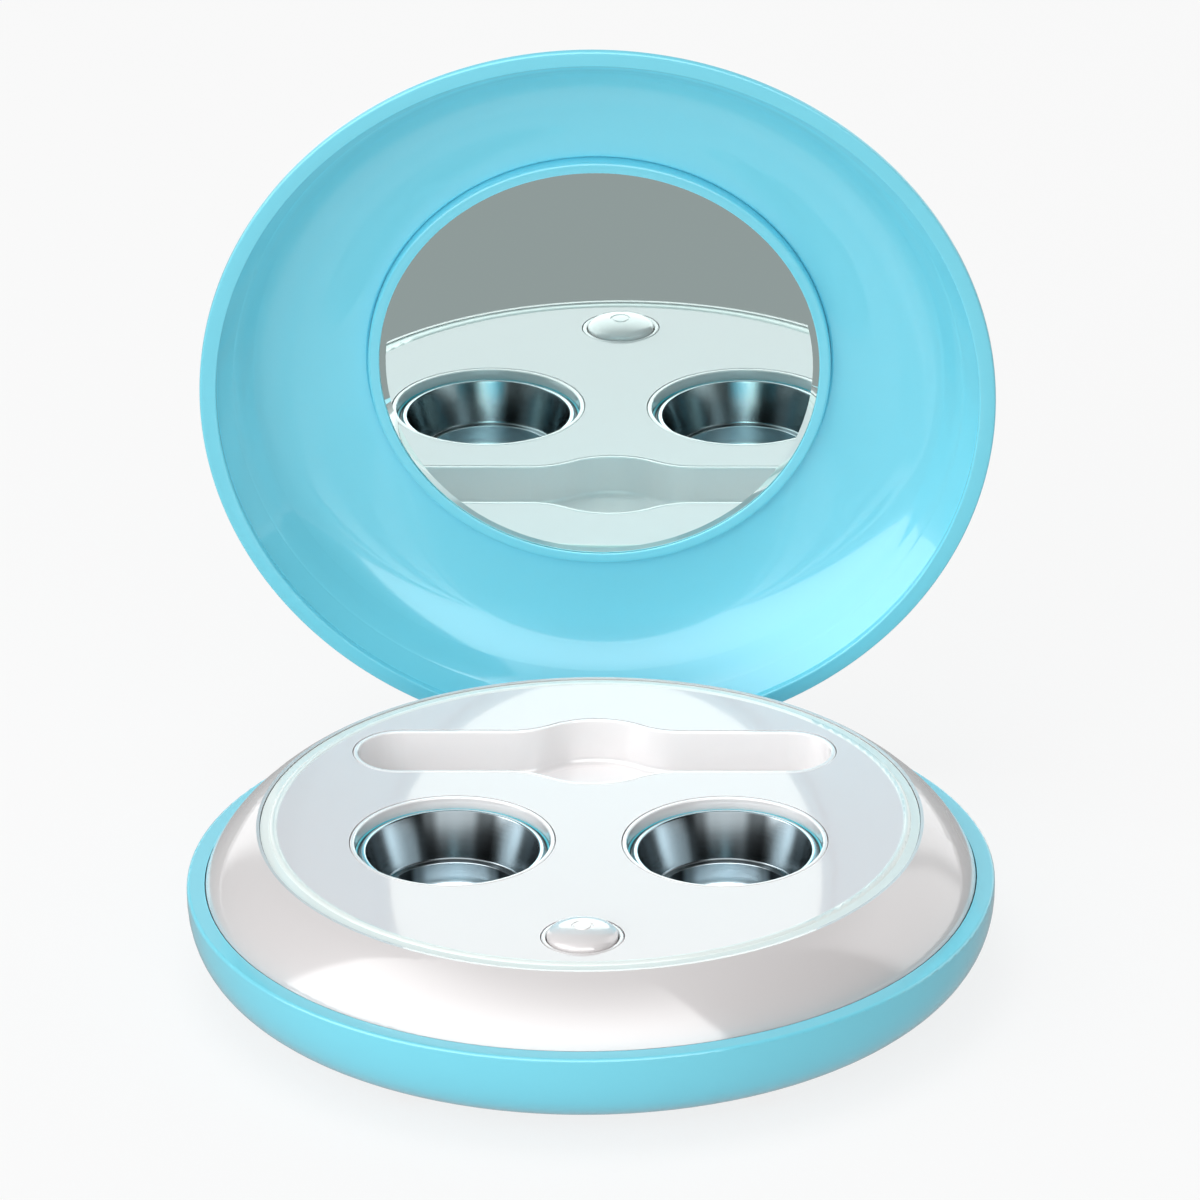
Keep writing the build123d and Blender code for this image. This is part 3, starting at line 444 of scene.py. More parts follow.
def ranged(tree, value, start, end, low, high):
    made = add(tree, "ShaderNodeMapRange", {
        "Value": value, "From Min": start, "From Max": end, "To Min": low, "To Max": high})
    return made.outputs[0]


# Painted reflections: a ramp of tones by the turn round the cup's axis
def paintedStreaks(tree, share, plan):
    made = add(tree, "ShaderNodeValToRGB", {0: share})
    ramp = made.color_ramp
    ramp.interpolation = "EASE"
    for k, (spot, tone) in enumerate(plan):
        stop = ramp.elements[0] if k == 0 else ramp.elements.new(spot)
        stop.position, stop.color = spot, (tone, tone, tone, 1)
    ramp.elements.remove(ramp.elements[-1])
    return made.outputs[0]


def cupFinish(look):
    made, tree, out = newMaterial("cupSteel")
    place = add(tree, "ShaderNodeTexCoord").outputs["Object"]
    axes = add(tree, "ShaderNodeSeparateXYZ", {0: place}).outputs
    across = calc(tree, "SUBTRACT", calc(tree, "ABSOLUTE", axes["X"]), look["centre"][0])
    along = calc(tree, "SUBTRACT", axes["Y"], look["centre"][1])
    place = add(tree, "ShaderNodeCombineXYZ", {0: across, 1: along, 2: axes["Z"]}).outputs[0]
    radius = calc(tree, "SQRT", calc(tree, "ADD", calc(tree, "MULTIPLY", across, across),
                                     calc(tree, "MULTIPLY", along, along)))
    turn = calc(tree, "ABSOLUTE", calc(tree, "ARCTAN2", across, along))
    share = calc(tree, "DIVIDE", turn, pi)
    # Painted reflections on the walls above the ledge and in the recess below it
    wall, recess = (paintedStreaks(tree, share, look[key]) for key in ("wall", "recess"))
    border = look["border"]
    above = ranged(tree, axes["Z"], look["ledge"] - border, look["ledge"] + border, 0, 1)
    tone = calc(tree, "ADD", calc(tree, "MULTIPLY", wall, above),
                calc(tree, "MULTIPLY", recess, calc(tree, "SUBTRACT", 1.0, above)))
    # Painted highlight on the lip, and painted shade in the groove past the lip's foot
    onLip = ranged(tree, radius, look["mouth"], look["mouth"] + border, 0, 1)
    past = ranged(tree, radius, look["lipFoot"], look["lipFoot"] + border, 0, 1)
    lip = ranged(tree, past, 0, 1, look["lip"], look["groove"])
    tone = calc(tree, "ADD", calc(tree, "MULTIPLY", tone, calc(tree, "SUBTRACT", 1.0, onLip)),
                calc(tree, "MULTIPLY", lip, onLip))
    colour = add(tree, "ShaderNodeVectorMath", {
        0: look["colour"], "Scale": tone}, operation="SCALE")
    rough = ranged(tree, above, 0, 1, look["recessRoughness"], look["roughness"])
    spun = useGroup(tree, turnedMetal, {
        "Colour": colour.outputs[0], "Place": place, "Roughness": rough,
        "Rings": look["rings"], "Depth": look["depth"], "Tone": look["tone"]})
    shader = add(tree, "ShaderNodeBsdfPrincipled", {
        "Base Color": spun["Colour"], "Roughness": spun["Roughness"],
        "Normal": spun["Normal"], "Metallic": 1.0})
    tree.links.new(shader.outputs[0], out["Surface"])
    return made


mirrorLook = {
    "tint": (0.64, 0.765, 0.75),
    "roughness": 0.008,
    "haze": 3,  # how many times rougher the haziest spots are
    "lean": 5.3,  # degrees by which the silvering leans back in its glass
    "openAngle": 84.0,
}


def mirrorFinish(look):
    made, tree, out = newMaterial("silveredGlass")
    place = add(tree, "ShaderNodeTexCoord").outputs["Object"]
    stood = radians(look["openAngle"])
    rise = add(tree, "ShaderNodeVectorMath", {
        0: place, 1: (0, -cos(stood), sin(stood))}, operation="DOT_PRODUCT").outputs["Value"]
    slope = calc(tree, "MULTIPLY", rise, -tan(radians(look["lean"])))
    bump = add(tree, "ShaderNodeBump", {"Height": slope, "Distance": 1.0})
    haze = add(tree, "ShaderNodeTexNoise", {"Vector": place, "Scale": 60.0, "Detail": 3.0})
    rough = add(tree, "ShaderNodeMapRange", {
        "Value": haze.outputs[0], "From Min": 0.35, "From Max": 0.9,
        "To Min": look["roughness"], "To Max": look["roughness"] * look["haze"]})
    shader = add(tree, "ShaderNodeBsdfPrincipled", {
        "Base Color": (*look["tint"], 1), "Metallic": 1.0, "Roughness": rough.outputs[0],
        "Normal": bump.outputs[0]})
    tree.links.new(shader.outputs[0], out["Surface"])
    return made


finishes["cup_steel"] = cupFinish(cupLook)
finishes["mirror_glass"] = mirrorFinish(mirrorLook)
for part in frame["record"]["subparts"]:
    node = nodes[part["node"]]
    node.data.materials.clear()
    node.data.materials.append(finishes[part["material_slot"]])
print("finishes made:", len(finishes))


# Profiles are drawn in millimetres, as (distance from the axis, height) and a corner radius
def rounded(corners, steps=5):
    line = []
    last = len(corners) - 1
    for k, corner in enumerate(corners):
        here = Vector(corner[:2])
        radius = corner[2] if len(corner) > 2 else 0
        if not radius or k in (0, last):
            line.append(here)
            continue
        before = Vector(corners[k - 1][:2]) - here
        after = Vector(corners[k + 1][:2]) - here
        half = before.angle(after) / 2
        reach = min(radius / tan(half), before.length * 0.5, after.length * 0.5)
        start, end = here + before.normalized() * reach, here + after.normalized() * reach
        for j in range(steps + 1):
            share = j / steps
            rest = 1 - share
            line.append(start * rest ** 2 + here * 2 * share * rest + end * share ** 2)
    return line


def curved(start, pullStart, pullEnd, end, steps=24):
    # Points of a cubic curve, without its first
    points = [Vector(p) for p in (start, pullStart, pullEnd, end)]
    line = []
    for j in range(1, steps + 1):
        t = j / steps
        weights = ((1 - t) ** 3, 3 * t * (1 - t) ** 2, 3 * t * t * (1 - t), t ** 3)
        line.append(sum((p * w for p, w in zip(points, weights)), Vector((0, 0))))
    return line


def turnedTree():
    # Turns a profile about the upright axis
    tree, given, out = openTree("turnedPiece", "GeometryNodeTree", [
        ("Geometry", "NodeSocketGeometry", None), ("Steps", "NodeSocketInt", 128),
        ("Finish", "NodeSocketMaterial", None)], [("Geometry", "NodeSocketGeometry")])
    profile = given["Geometry"]
    sizes = add(tree, "GeometryNodeAttributeDomainSize", {"Geometry": profile}).outputs
    count = sizes["Point Count"]
    grid = add(tree, "GeometryNodeMeshGrid", {
        "Size X": 1.0, "Size Y": 1.0,
        "Vertices X": calc(tree, "ADD", given["Steps"], 1), "Vertices Y": count}).outputs["Mesh"]
    index = add(tree, "GeometryNodeInputIndex").outputs[0]
    along = calc(tree, "MODULO", index, count)
    across = calc(tree, "FLOOR", calc(tree, "DIVIDE", calc(tree, "ADD", index, 0.5), count))
    turn = calc(tree, "MULTIPLY", calc(tree, "DIVIDE", across, given["Steps"]), 2 * pi)
    spot = add(tree, "GeometryNodeSampleIndex", {
        "Geometry": profile, "Index": along}, data_type="FLOAT_VECTOR")
    tree.links.new(add(tree, "GeometryNodeInputPosition").outputs[0], spot.inputs["Value"])
    axes = add(tree, "ShaderNodeSeparateXYZ", {0: spot.outputs["Value"]}).outputs
    swept = add(tree, "ShaderNodeCombineXYZ", {
        0: calc(tree, "MULTIPLY", axes["X"], calc(tree, "COSINE", turn)),
        1: calc(tree, "MULTIPLY", axes["X"], calc(tree, "SINE", turn)), 2: axes["Z"]}).outputs[0]
    placed = add(tree, "GeometryNodeSetPosition", {"Geometry": grid, "Position": swept}).outputs[0]
    joined = add(tree, "GeometryNodeMergeByDistance", {
        "Geometry": placed, "Distance": 1e-6}).outputs[0]
    real = add(tree, "GeometryNodeRealizeInstances", {"Geometry": joined}).outputs[0]
    done = add(tree, "GeometryNodeSetMaterial", {"Geometry": real, "Material": given["Finish"]})
    tree.links.new(done.outputs[0], out["Geometry"])
    return tree


def grow(name, points, edges, tree, values, place=None, sharp=32):
    # Runs a tree on some start points and keeps the outcome as a plain mesh
    start = bpy.data.meshes.new(name)
    start.from_pydata(points, edges, [])
    piece = bpy.data.objects.new(name, start)
    scene.collection.objects.link(piece)
    modifier = piece.modifiers.new(name, "NODES")
    modifier.node_group = tree
    sockets = {item.name: item.identifier for item in tree.interface.items_tree
               if item.in_out == "INPUT"}
    for key, value in values.items():
        modifier[sockets[key]] = value
    depsgraph = bpy.context.evaluated_depsgraph_get()
    piece.data = bpy.data.meshes.new_from_object(piece.evaluated_get(depsgraph))
    piece.modifiers.clear()
    piece.data.name = name
    if place is not None:
        piece.data.transform(place)
    smoothed(piece, sharp)
    return piece


def smoothed(piece, sharp=32):
    # Faces outwards, smooth but for the edges sharper than this
    shape = bmesh.new()
    shape.from_mesh(piece.data)
    bmesh.ops.recalc_face_normals(shape, faces=shape.faces)
    shape.to_mesh(piece.data)
    shape.free()
    piece.data.shade_smooth()
    piece.data.set_sharp_from_angle(angle=radians(sharp))


def turned(name, profile, slot, steps=160, place=None, sharp=32):
    points = [(p.x * mm, 0, p.y * mm) for p in profile]
    return grow(name, points, [(k, k + 1) for k in range(len(points) - 1)], turnedPiece,
                {"Steps": steps, "Finish": finishes[slot]}, place, sharp)


def shaped(piece, tool, operation):
    # Joins a tool's solid to a piece, or cuts it away
    modifier = piece.modifiers.new(operation, "BOOLEAN")
    modifier.object = tool
    modifier.operation = operation
    modifier.solver = "EXACT"
    depsgraph = bpy.context.evaluated_depsgraph_get()
    piece.data = bpy.data.meshes.new_from_object(piece.evaluated_get(depsgraph))
    piece.modifiers.clear()
    bpy.data.objects.remove(tool)


def finished(piece, body, slot, *stoodFor):
    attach(piece, body)
    if stoodFor:
        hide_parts(*stoodFor)
    return piece


turnedPiece = turnedTree()

# Lid: one turned moulding with its hinge lug
lidSizes = {
    "openAngle": 84.0,
    "hinge": (0, 41.7, 7.6),
    "rimRadius": 44.0,
    "rimAboveHinge": 4.15,
    "rimBand": 1.85,
    "rimRounds": (0.25, 0.4),
    "innerEdge": 0.9,
    # Curves, as a start, two pulls and an end, and corners between them
    "flank": [(44.0, 0.6), (40.2, 6.55), (37.5, 10.4), (24, 10.9)],
    "crown": [(24, 10.9), (16, 11.2), (8, 11.3), (0, 11.3)],
    "recess": [(0, 9.5), (25.75, 9.5), (25.75, 9.25), (25.95, 9.1, 0.15), (26.2, 9.1)],
    "bowl": [(26.2, 9.1), (30.2, 9.1), (35.6, 8.2), (38.2, 5.65)],
    "ledges": [(38.2, 5.65), (38.35, 5.5, 0.35), (39.4, 4.3), (40.2, 3.15), (40.45, 2.95, 0.35),
               (41.2, 2.1)],
    "lugWidth": 12.0,
    "barrelRadius": 2.0,
    "pinRadius": 1.0,
    "pinPlay": 0.05,
    "webTop": 0.5,
    "webFront": 0.45,  # behind the pin's axis, then height above it
    "webRise": 2.4,
}


def lidPlace(sizes):
    # The shut lid's frame, turned about the pin to where the lid stands
    stood = radians(sizes["openAngle"])
    back = Vector((0, cos(stood), -sin(stood)))
    crown = Vector((0, sin(stood), cos(stood)))
    pin = Vector(sizes["hinge"]) * mm
    place = Matrix((Vector((1, 0, 0)), back, crown)).transposed().to_4x4()
    place.translation = pin - back * sizes["hinge"][1] * mm + crown * sizes["rimAboveHinge"] * mm
    return place


def prism(name, outline, low, high):
    # An outline in the lid's back and crown directions, pulled along the pin
    shape = bmesh.new()
    ends = [[shape.verts.new((x, y, z)) for y, z in outline] for x in (low, high)]
    shape.faces.new(ends[0])
    shape.faces.new(ends[1][::-1])
    for k in range(len(outline)):
        nextOne = (k + 1) % len(outline)
        shape.faces.new((ends[0][k], ends[0][nextOne], ends[1][nextOne], ends[1][k]))
    bmesh.ops.recalc_face_normals(shape, faces=shape.faces)
    mesh = bpy.data.meshes.new(name)
    shape.to_mesh(mesh)
    shape.free()
    made = bpy.data.objects.new(name, mesh)
    scene.collection.objects.link(made)
    return made


def circle(middle, radius, steps=64):
    return [(middle[0] + radius * cos(2 * pi * k / steps),
             middle[1] + radius * sin(2 * pi * k / steps)) for k in range(steps)]


def makeLid(sizes, place):
    rim, inner = sizes["rimRadius"], sizes["rimRadius"] - sizes["rimBand"]
    edge = (inner, sizes["innerEdge"])
    innerRound, outerRound = sizes["rimRounds"]
    profile = rounded([edge, (inner, 0, innerRound), (rim, 0, outerRound), sizes["flank"][0]])
    profile += curved(*sizes["flank"], steps=40)
    profile += curved(*sizes["crown"], steps=16)
    profile += rounded(sizes["recess"])
    profile += curved(*sizes["bowl"], steps=28)
    profile += rounded([*sizes["ledges"], edge])
    lid = turned("lidShell", profile, "cyan_plastic", steps=224)
    pin = (sizes["hinge"][1] * mm, -sizes["rimAboveHinge"] * mm)
    half, barrel = sizes["lugWidth"] / 2 * mm, sizes["barrelRadius"] * mm
    top, front, rise = (sizes[key] * mm for key in ("webTop", "webFront", "webRise"))
    web = [(pin[0] + front, top), (pin[0] + barrel, top), (pin[0] + barrel, pin[1]),
           (pin[0] - barrel, pin[1]), (pin[0] + front, pin[1] + rise)]
    shaped(lid, prism("lugWeb", web, -half, half), "UNION")
    shaped(lid, prism("lugBarrel", circle(pin, barrel), -half, half), "UNION")
    pinHole = circle(pin, (sizes["pinRadius"] + sizes["pinPlay"]) * mm)
    through = half * 1.1
    shaped(lid, prism("pinHole", pinHole, -through, through), "DIFFERENCE")
    lid.data.transform(place)
    lid.data.materials.clear()
    lid.data.materials.append(finishes["cyan_plastic"])
    smoothed(lid, sharp=28)
    return finished(lid, "lid", "cyan_plastic", "lid_shell")


lidFrame = lidPlace(lidSizes)
makeLid(lidSizes, lidFrame)
print("lid turned")

# Mirror with its bevel, and the ring that frames it
mirrorSizes = {
    "radius": 25.0,
    "face": 8.0,  # depth below the lid's rim
    "thickness": 1.2,
    "bevelWidth": 0.75,
    "bevelDrop": 0.16,
    "ringRadius": 25.69,
    "ringBore": 24.45,
    "ringFace": 7.8,
    "ringRounds": (0.35, 0.12),
    "recess": 9.5,
    "play": 0.06,  # between the glass and its ring, then behind the ring's lip
    "lipPlay": 0.02,
}


def makeMirror(sizes, place):
    flat = sizes["ringBore"] - sizes["bevelWidth"]
    face, back = sizes["face"], sizes["face"] + sizes["thickness"]
    glass = turned("mirrorGlass", rounded([
        (0, face), (flat, face), (sizes["radius"], face + sizes["bevelDrop"]),
        (sizes["radius"], back), (0, back)]), "mirror_glass", steps=192, place=place, sharp=3)
    finished(glass, "lid", "mirror_glass", "mirror")
    outer, bore, front = sizes["ringRadius"], sizes["ringBore"], sizes["ringFace"]
    seat, (outerRound, boreRound) = sizes["radius"] + sizes["play"], sizes["ringRounds"]
    ring = turned("mirrorRing", rounded([
        (outer, sizes["recess"]), (outer, front, outerRound), (bore, front, boreRound),
        (bore, face), (seat, face + sizes["lipPlay"]), (seat, sizes["recess"]),
        (outer, sizes["recess"])]), "cyan_plastic", steps=192, place=place)
    finished(ring, "lid", "cyan_plastic", "mirror_ring")


makeMirror(mirrorSizes, lidFrame)
print("mirror set")

# Drawn steel cups with a raised lip
cupSizes = {
    "x": 14.77,
    "y": -5.06,
    "top": 17.0,
    "sheet": 0.45,
    "flange": 10.3,
    "mouth": 9.45,
    "lipRise": 0.3,
    "lipWidth": 0.45,
    "ledge": 8.0,
    "ledgeDepth": 4.9,
    "step": 0.75,
    "depth": 7.9,
    "corner": 1.4,
    "lipRound": 0.22,
    "ledgeRound": 0.3,
    "stepRound": 0.15,
    "flangeRound": 0.2,
    "underRound": 0.1,
}


def makeCup(name, side, sizes, node):
    top, sheet = sizes["top"], sizes["sheet"]
    ledgeZ, floorZ = top - sizes["ledgeDepth"], top - sizes["depth"]
    low = sizes["ledge"] - sizes["step"]
    lipTop, lipEdge = top + sizes["lipRise"], sizes["mouth"] + sizes["lipWidth"]
    lipRound, flangeRound, under = sizes["lipRound"], sizes["flangeRound"], sizes["underRound"]
    profile = rounded([
        (0, floorZ), (low, floorZ, sizes["corner"]), (low, ledgeZ, sizes["stepRound"]),
        (sizes["ledge"], ledgeZ, sizes["ledgeRound"]),
        (sizes["mouth"], lipTop, lipRound), (lipEdge, lipTop, lipRound),
        (lipEdge + sizes["lipRise"] / 2, top, under),
        (sizes["flange"], top, flangeRound), (sizes["flange"], top - sheet, under),
        (sizes["mouth"] + sheet, top - sheet, under),
        (sizes["ledge"] + sheet, ledgeZ - sheet, flangeRound),
        (low + sheet, ledgeZ - sheet, under),
        (low + sheet, floorZ - sheet, sizes["corner"] + sheet / 2), (0, floorZ - sheet)], steps=8)
    place = Matrix.Translation((side * sizes["x"] * mm, sizes["y"] * mm, 0))
    cup = turned(name, profile, "cup_steel", steps=144, place=place, sharp=40)
    finished(cup, "base", "cup_steel", node)


makeCup("leftCup", -1, cupSizes, "left_cup")
makeCup("rightCup", 1, cupSizes, "right_cup")
print("cups drawn")

# Push button: a clear-coated domed cap on a flange and stem, with a plain engraved ring
buttonSizes = {
    "y": -28.1,
    "radius": 3.85,
    "rimTop": 18.42,
    "rise": 1.25,
    "flange": 4.85,
    "flangeTop": 15.6,
    "flangeBottom": 14.5,
    "flangeRound": 0.15,
    "stem": 1.3,
    "stemEnd": 10.1,
    "stemRound": 0.2,
    "markRadius": 1.15,
    "markLine": 0.22,
    "markDepth": 0.1,
    "markEdge": 0.04,
    "markSlope": 0.02,
    "crownStops": (0, 0.3, 0.6),
    "domeSteps": 30,
}


def makeButton(sizes):
    radius, rim, rise = sizes["radius"], sizes["rimTop"], sizes["rise"]

    def dome(r):
        return rim + rise * sqrt(1 - (r / radius) ** 2)

    near, far = sizes["markRadius"] - sizes["markLine"], sizes["markRadius"]
    edge, slope, groove = sizes["markEdge"], sizes["markSlope"], sizes["markDepth"]
    line = [Vector((r, dome(r))) for r in (*sizes["crownStops"], near - edge)]
    line += [Vector((near + slope, dome(near) - groove)), Vector((far - slope, dome(far) - groove))]
    start, steps = asin((far + edge) / radius), sizes["domeSteps"]
    turns = [start + (pi / 2 - start) * k / steps for k in range(steps + 1)]
    line += [Vector((radius * sin(turn), dome(radius * sin(turn)))) for turn in turns]
    line += rounded([line[-1], (radius, sizes["flangeTop"]),
                     (sizes["flange"], sizes["flangeTop"], sizes["flangeRound"]),
                     (sizes["flange"], sizes["flangeBottom"], sizes["flangeRound"]),
                     (sizes["stem"], sizes["flangeBottom"], sizes["stemRound"]),
                     (sizes["stem"], sizes["stemEnd"]), (0, sizes["stemEnd"])])[1:]
    place = Matrix.Translation((0, sizes["y"] * mm, 0))
    button = turned("powerButton", line, "white_plastic", steps=112, place=place, sharp=40)
    finished(button, "button", "white_plastic", "power_button")


makeButton(buttonSizes)
print("button made")

# Rubber foot with rings of grip grooves in its underside
footSizes = {
    "radius": 24.0,
    "height": 1.3,
    "chamfer": 0.25,
    "grooves": [6.0, 9.0, 12.0, 15.0, 18.0, 21.0],
    "grooveWidth": 0.7,
    "grooveDepth": 0.35,
    "grooveFloor": 0.7,  # share of the groove's width
    "round": 0.08,
}


def makeFoot(sizes):
    radius, height, chamfer = sizes["radius"], sizes["height"], sizes["chamfer"]
    half, depth, soft = sizes["grooveWidth"] / 2, sizes["grooveDepth"], sizes["round"]
    floor = half * sizes["grooveFloor"]
    corners = [(0, 0)]
    for middle in sizes["grooves"]:
        corners += [(middle - half, 0, soft), (middle - floor, depth, soft),
                    (middle + floor, depth, soft), (middle + half, 0, soft)]
    corners += [(radius - chamfer, 0, soft), (radius, chamfer, soft), (radius, height), (0, height)]
    foot = turned("gripFoot", rounded(corners, steps=3), "pad_rubber", steps=128, sharp=40)
    finished(foot, "base", "pad_rubber", "base_pad")


makeFoot(footSizes)
print("grip foot made")

# Screws: a pan head with a cross recess on a threaded shaft, set at each place
screwSets = {
    "bodyScrews": {
        "node": "body_screws",
        "places": [(35 * cos(radians(a)), 35 * sin(radians(a))) for a in (-122, -58, 55, 125)],
        "seat": 3.4, "head": (1.9, 1.6), "shaft": (0.9, 6.8), "facing": -1},
    "boardScrews": {
        "node": "board_screws",
        "places": [(-27.49, -12.01), (27.49, -12.01), (-21.0, 2.0), (21.0, 2.0)],
        "seat": 5.6, "head": (1.4, 0.9), "shaft": (0.7, 4.0), "facing": 1},
    "hingeScrews": {
        "node": "hinge_screws",
        "places": [(-6.5, 35.0), (6.5, 35.0)],
        "seat": 7.3, "head": (1.6, 1.1), "shaft": (0.8, 4.0), "facing": 1},
}
screwCut = {
    "plainNeck": 0.3,
    "pitch": 0.5,
    "threadDepth": 0.12,
    "crownShare": 0.55,  # of the head's radius that is flat, and of its height at the edge
    "crossWidth": 0.28,
    "crossReach": 0.62,
    "crossDepth": 0.55,
    "crossClear": 0.2,
    "headRounds": (0.5, 0.1),
}


def copiesTree():
    # Sets one copy of a piece on each point, turned a little further each time
    tree, given, out = openTree("placedCopies", "GeometryNodeTree", [
        ("Geometry", "NodeSocketGeometry", None), ("Piece", "NodeSocketObject", None),
        ("Turn Step", "NodeSocketFloat", 0.7), ("Finish", "NodeSocketMaterial", None)],
        [("Geometry", "NodeSocketGeometry")])
    points = add(tree, "GeometryNodeMeshToPoints", {"Mesh": given["Geometry"]}).outputs[0]
    piece = add(tree, "GeometryNodeObjectInfo", {"Object": given["Piece"]}).outputs["Geometry"]
    index = add(tree, "GeometryNodeInputIndex").outputs[0]
    turn = add(tree, "ShaderNodeCombineXYZ", {2: calc(tree, "MULTIPLY", index, given["Turn Step"])})
    copies = add(tree, "GeometryNodeInstanceOnPoints", {
        "Points": points, "Instance": piece, "Rotation": turn.outputs[0]}).outputs[0]
    real = add(tree, "GeometryNodeRealizeInstances", {"Geometry": copies}).outputs[0]
    done = add(tree, "GeometryNodeSetMaterial", {"Geometry": real, "Material": given["Finish"]})
    tree.links.new(done.outputs[0], out["Geometry"])
    return tree


placedCopies = copiesTree()


def makeScrews(name, plan, cut):
    radius, head = plan["head"]
    shaft, length = plan["shaft"]
    crown, neck, pitch = cut["crownShare"], cut["plainNeck"], cut["pitch"]
    topRound, seatRound = cut["headRounds"]
    line = rounded([(0, head), (radius * crown, head), (radius, head * crown, topRound),
                    (radius, 0, seatRound), (shaft, 0)], steps=4)
    ridges = int((length - 2 * neck) / pitch)
    for k in range(ridges):
        z = -neck - k * pitch
        line += [Vector((shaft, z)), Vector((shaft - cut["threadDepth"], z - pitch / 2))]
    line += [Vector((shaft, -neck - ridges * pitch)), Vector((0, -length))]
    screw = turned(name + "Piece", line, "screw_steel", steps=32)
    for across in (0, 1):
        sides = [cut["crossReach"] * radius * mm, cut["crossWidth"] / 2 * mm]
        wide, deep = sides[across], sides[1 - across]
        low, high = (head - cut["crossDepth"]) * mm, (head + cut["crossClear"]) * mm
        outline = [(-deep, low), (deep, low), (deep, high), (-deep, high)]
        shaped(screw, prism("crossCut", outline, -wide, wide), "DIFFERENCE")
    if plan["facing"] < 0:
        screw.data.transform(Matrix.Rotation(pi, 4, "X"))
    points = [(x * mm, y * mm, plan["seat"] * mm) for x, y in plan["places"]]
    screws = grow(name, points, [], placedCopies,
                  {"Piece": screw, "Finish": finishes["screw_steel"]})
    bpy.data.objects.remove(screw)
    finished(screws, "base", "screw_steel", plan["node"])


for setName, screwPlan in screwSets.items():
    makeScrews(setName, screwPlan, screwCut)
print("screws set")

# Hinge pin with chamfered ends, and the contact pads on the charging inlet's tongue
pinSizes = {"radius": 1.0, "half": 10.7, "chamfer": 0.3, "y": 41.7, "z": 7.6}
padSizes = {
    "count": 8,
    "pitch": 0.78,
    "size": (3.4, 0.42, 0.06),
    "x": 38.6,
    "z": 7.2,
    "tongueHalf": 0.35,
}


def makePin(sizes):
    radius, half, chamfer = sizes["radius"], sizes["half"], sizes["chamfer"]
    place = Matrix.Translation((0, sizes["y"] * mm, sizes["z"] * mm))
    place = place @ Matrix.Rotation(pi / 2, 4, "Y")
    pin = turned("hingePin", rounded([
        (0, -half), (radius - chamfer, -half), (radius, chamfer - half),
        (radius, half - chamfer), (radius - chamfer, half), (0, half)]),
        "pin_steel", steps=48, place=place)
    finished(pin, "base", "pin_steel", "hinge_pin")


def makePads(sizes):
    length, width, thick = (value * mm for value in sizes["size"])
    pad = prism("contactPiece", [(-width / 2, -thick / 2), (width / 2, -thick / 2),
                                 (width / 2, thick / 2), (-width / 2, thick / 2)],
                -length / 2, length / 2)
    points = [(sizes["x"] * mm, (k - (sizes["count"] - 1) / 2) * sizes["pitch"] * mm,
               (sizes["z"] + side * sizes["tongueHalf"]) * mm)
              for side in (-1, 1) for k in range(sizes["count"])]
    pads = grow("contactPads", points, [], placedCopies,
                {"Piece": pad, "Turn Step": 0.0, "Finish": finishes["disc_brass"]})
    bpy.data.objects.remove(pad)
    finished(pads, "base", "disc_brass")


makePin(pinSizes)
makePads(padSizes)
print("pin and contacts set")

# Drive coils: a layer of wire wound over each ferrite core
coilSizes = {
    "places": [(0, -12.5), (0, 1.5)],
    "bottom": 6.2,
    "top": 9.0,
    "inner": 1.1,
    "outer": 2.1,
    "wire": 0.2,
    "wireShare": 0.98,  # of the wire's pitch that it fills
    "stepsPerTurn": 20,
}


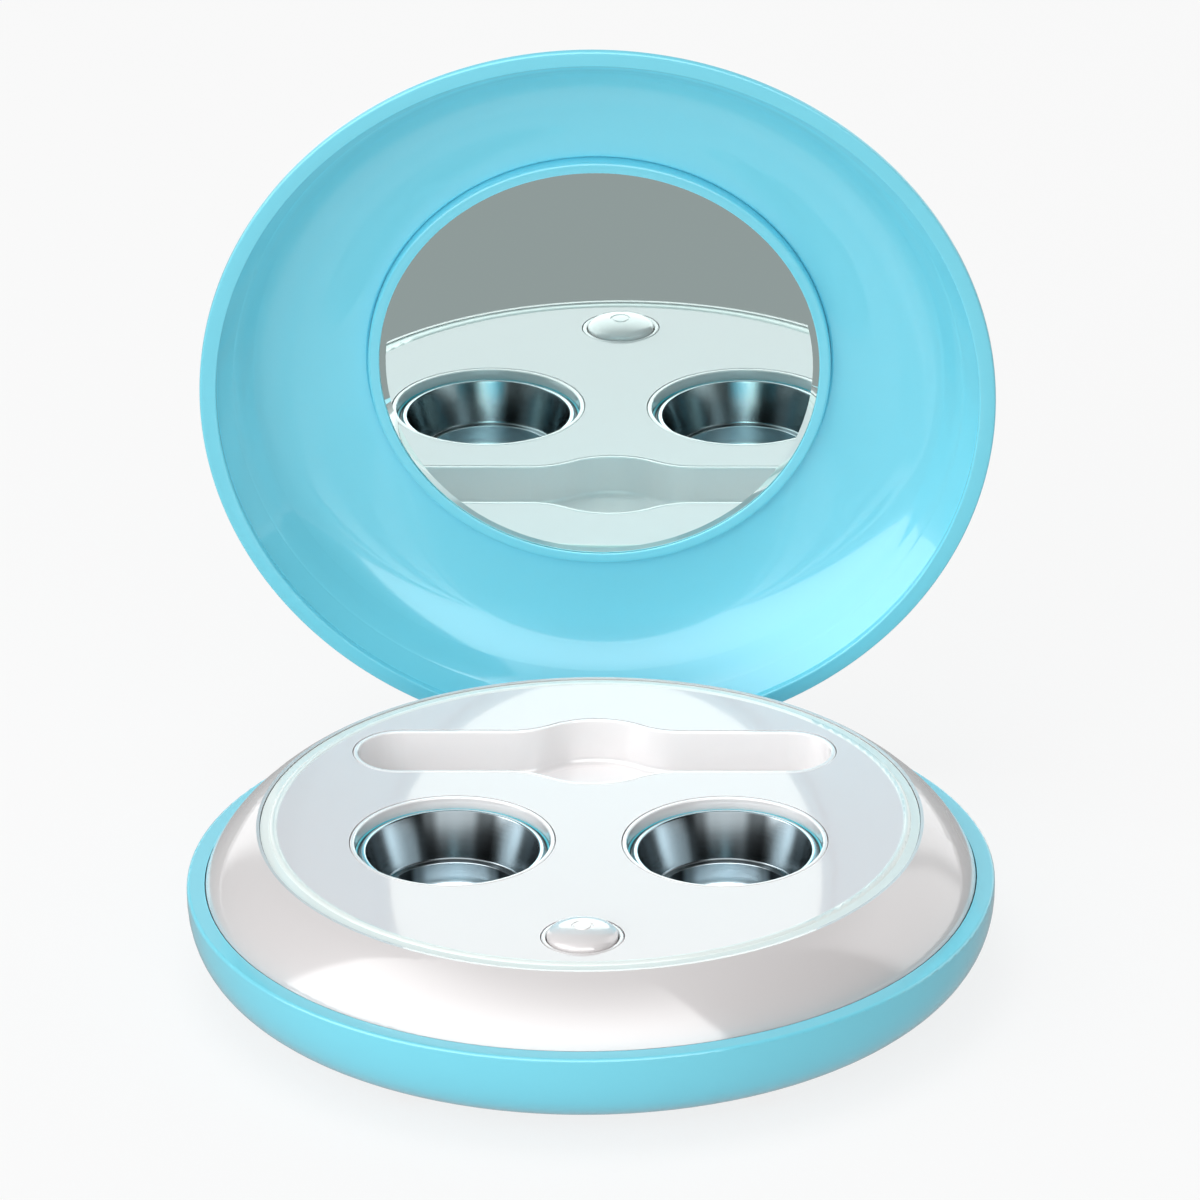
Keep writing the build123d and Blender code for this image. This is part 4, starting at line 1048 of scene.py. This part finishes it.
def windingTree():
    # Turns a straight line of points into a wire wound about the line's own axis
    tree, given, out = openTree("woundWire", "GeometryNodeTree", [
        ("Geometry", "NodeSocketGeometry", None), ("Steps Per Turn", "NodeSocketFloat", 20.0),
        ("Radius", "NodeSocketFloat", 0.002), ("Wire", "NodeSocketFloat", 0.0001),
        ("Finish", "NodeSocketMaterial", None)], [("Geometry", "NodeSocketGeometry")])
    index = add(tree, "GeometryNodeInputIndex").outputs[0]
    turn = calc(tree, "MULTIPLY", calc(tree, "DIVIDE", index, given["Steps Per Turn"]), 2 * pi)
    swing = add(tree, "ShaderNodeCombineXYZ", {
        0: calc(tree, "MULTIPLY", calc(tree, "COSINE", turn), given["Radius"]),
        1: calc(tree, "MULTIPLY", calc(tree, "SINE", turn), given["Radius"])}).outputs[0]
    bent = add(tree, "GeometryNodeSetPosition", {
        "Geometry": given["Geometry"], "Offset": swing}).outputs[0]
    path = add(tree, "GeometryNodeMeshToCurve", {"Mesh": bent}).outputs[0]
    section = add(tree, "GeometryNodeCurvePrimitiveCircle", {
        "Resolution": 8, "Radius": given["Wire"]}).outputs["Curve"]
    wire = add(tree, "GeometryNodeCurveToMesh", {
        "Curve": path, "Profile Curve": section, "Fill Caps": True}).outputs[0]
    real = add(tree, "GeometryNodeRealizeInstances", {"Geometry": wire}).outputs[0]
    done = add(tree, "GeometryNodeSetMaterial", {"Geometry": real, "Material": given["Finish"]})
    tree.links.new(done.outputs[0], out["Geometry"])
    return tree


woundWire = windingTree()


def makeCoils(sizes):
    half = sizes["wire"] / 2
    low, high = sizes["bottom"] + half, sizes["top"] - half
    count = int((high - low) / sizes["wire"]) * sizes["stepsPerTurn"]
    parts = []
    for x, y in sizes["places"]:
        place = Matrix.Translation((x * mm, y * mm, 0))
        inside = sizes["outer"] - sizes["wire"]
        parts.append(turned("coilBody", [Vector(p) for p in (
            (sizes["inner"], sizes["bottom"]), (inside, sizes["bottom"]), (inside, sizes["top"]),
            (sizes["inner"], sizes["top"]), (sizes["inner"], sizes["bottom"]))],
            "copper_wire", steps=40, place=place))
        points = [(0, 0, (low + (high - low) * k / count) * mm) for k in range(count + 1)]
        parts.append(grow("coilWire", points, [(k, k + 1) for k in range(count)], woundWire, {
            "Steps Per Turn": float(sizes["stepsPerTurn"]), "Radius": (sizes["outer"] - half) * mm,
            "Wire": half * mm * sizes["wireShare"], "Finish": finishes["copper_wire"]}, place))
    for k, part in enumerate(parts):
        finished(part, "base", "copper_wire", *(["coil_windings"] if k == 0 else []))


makeCoils(coilSizes)
print("coils wound")
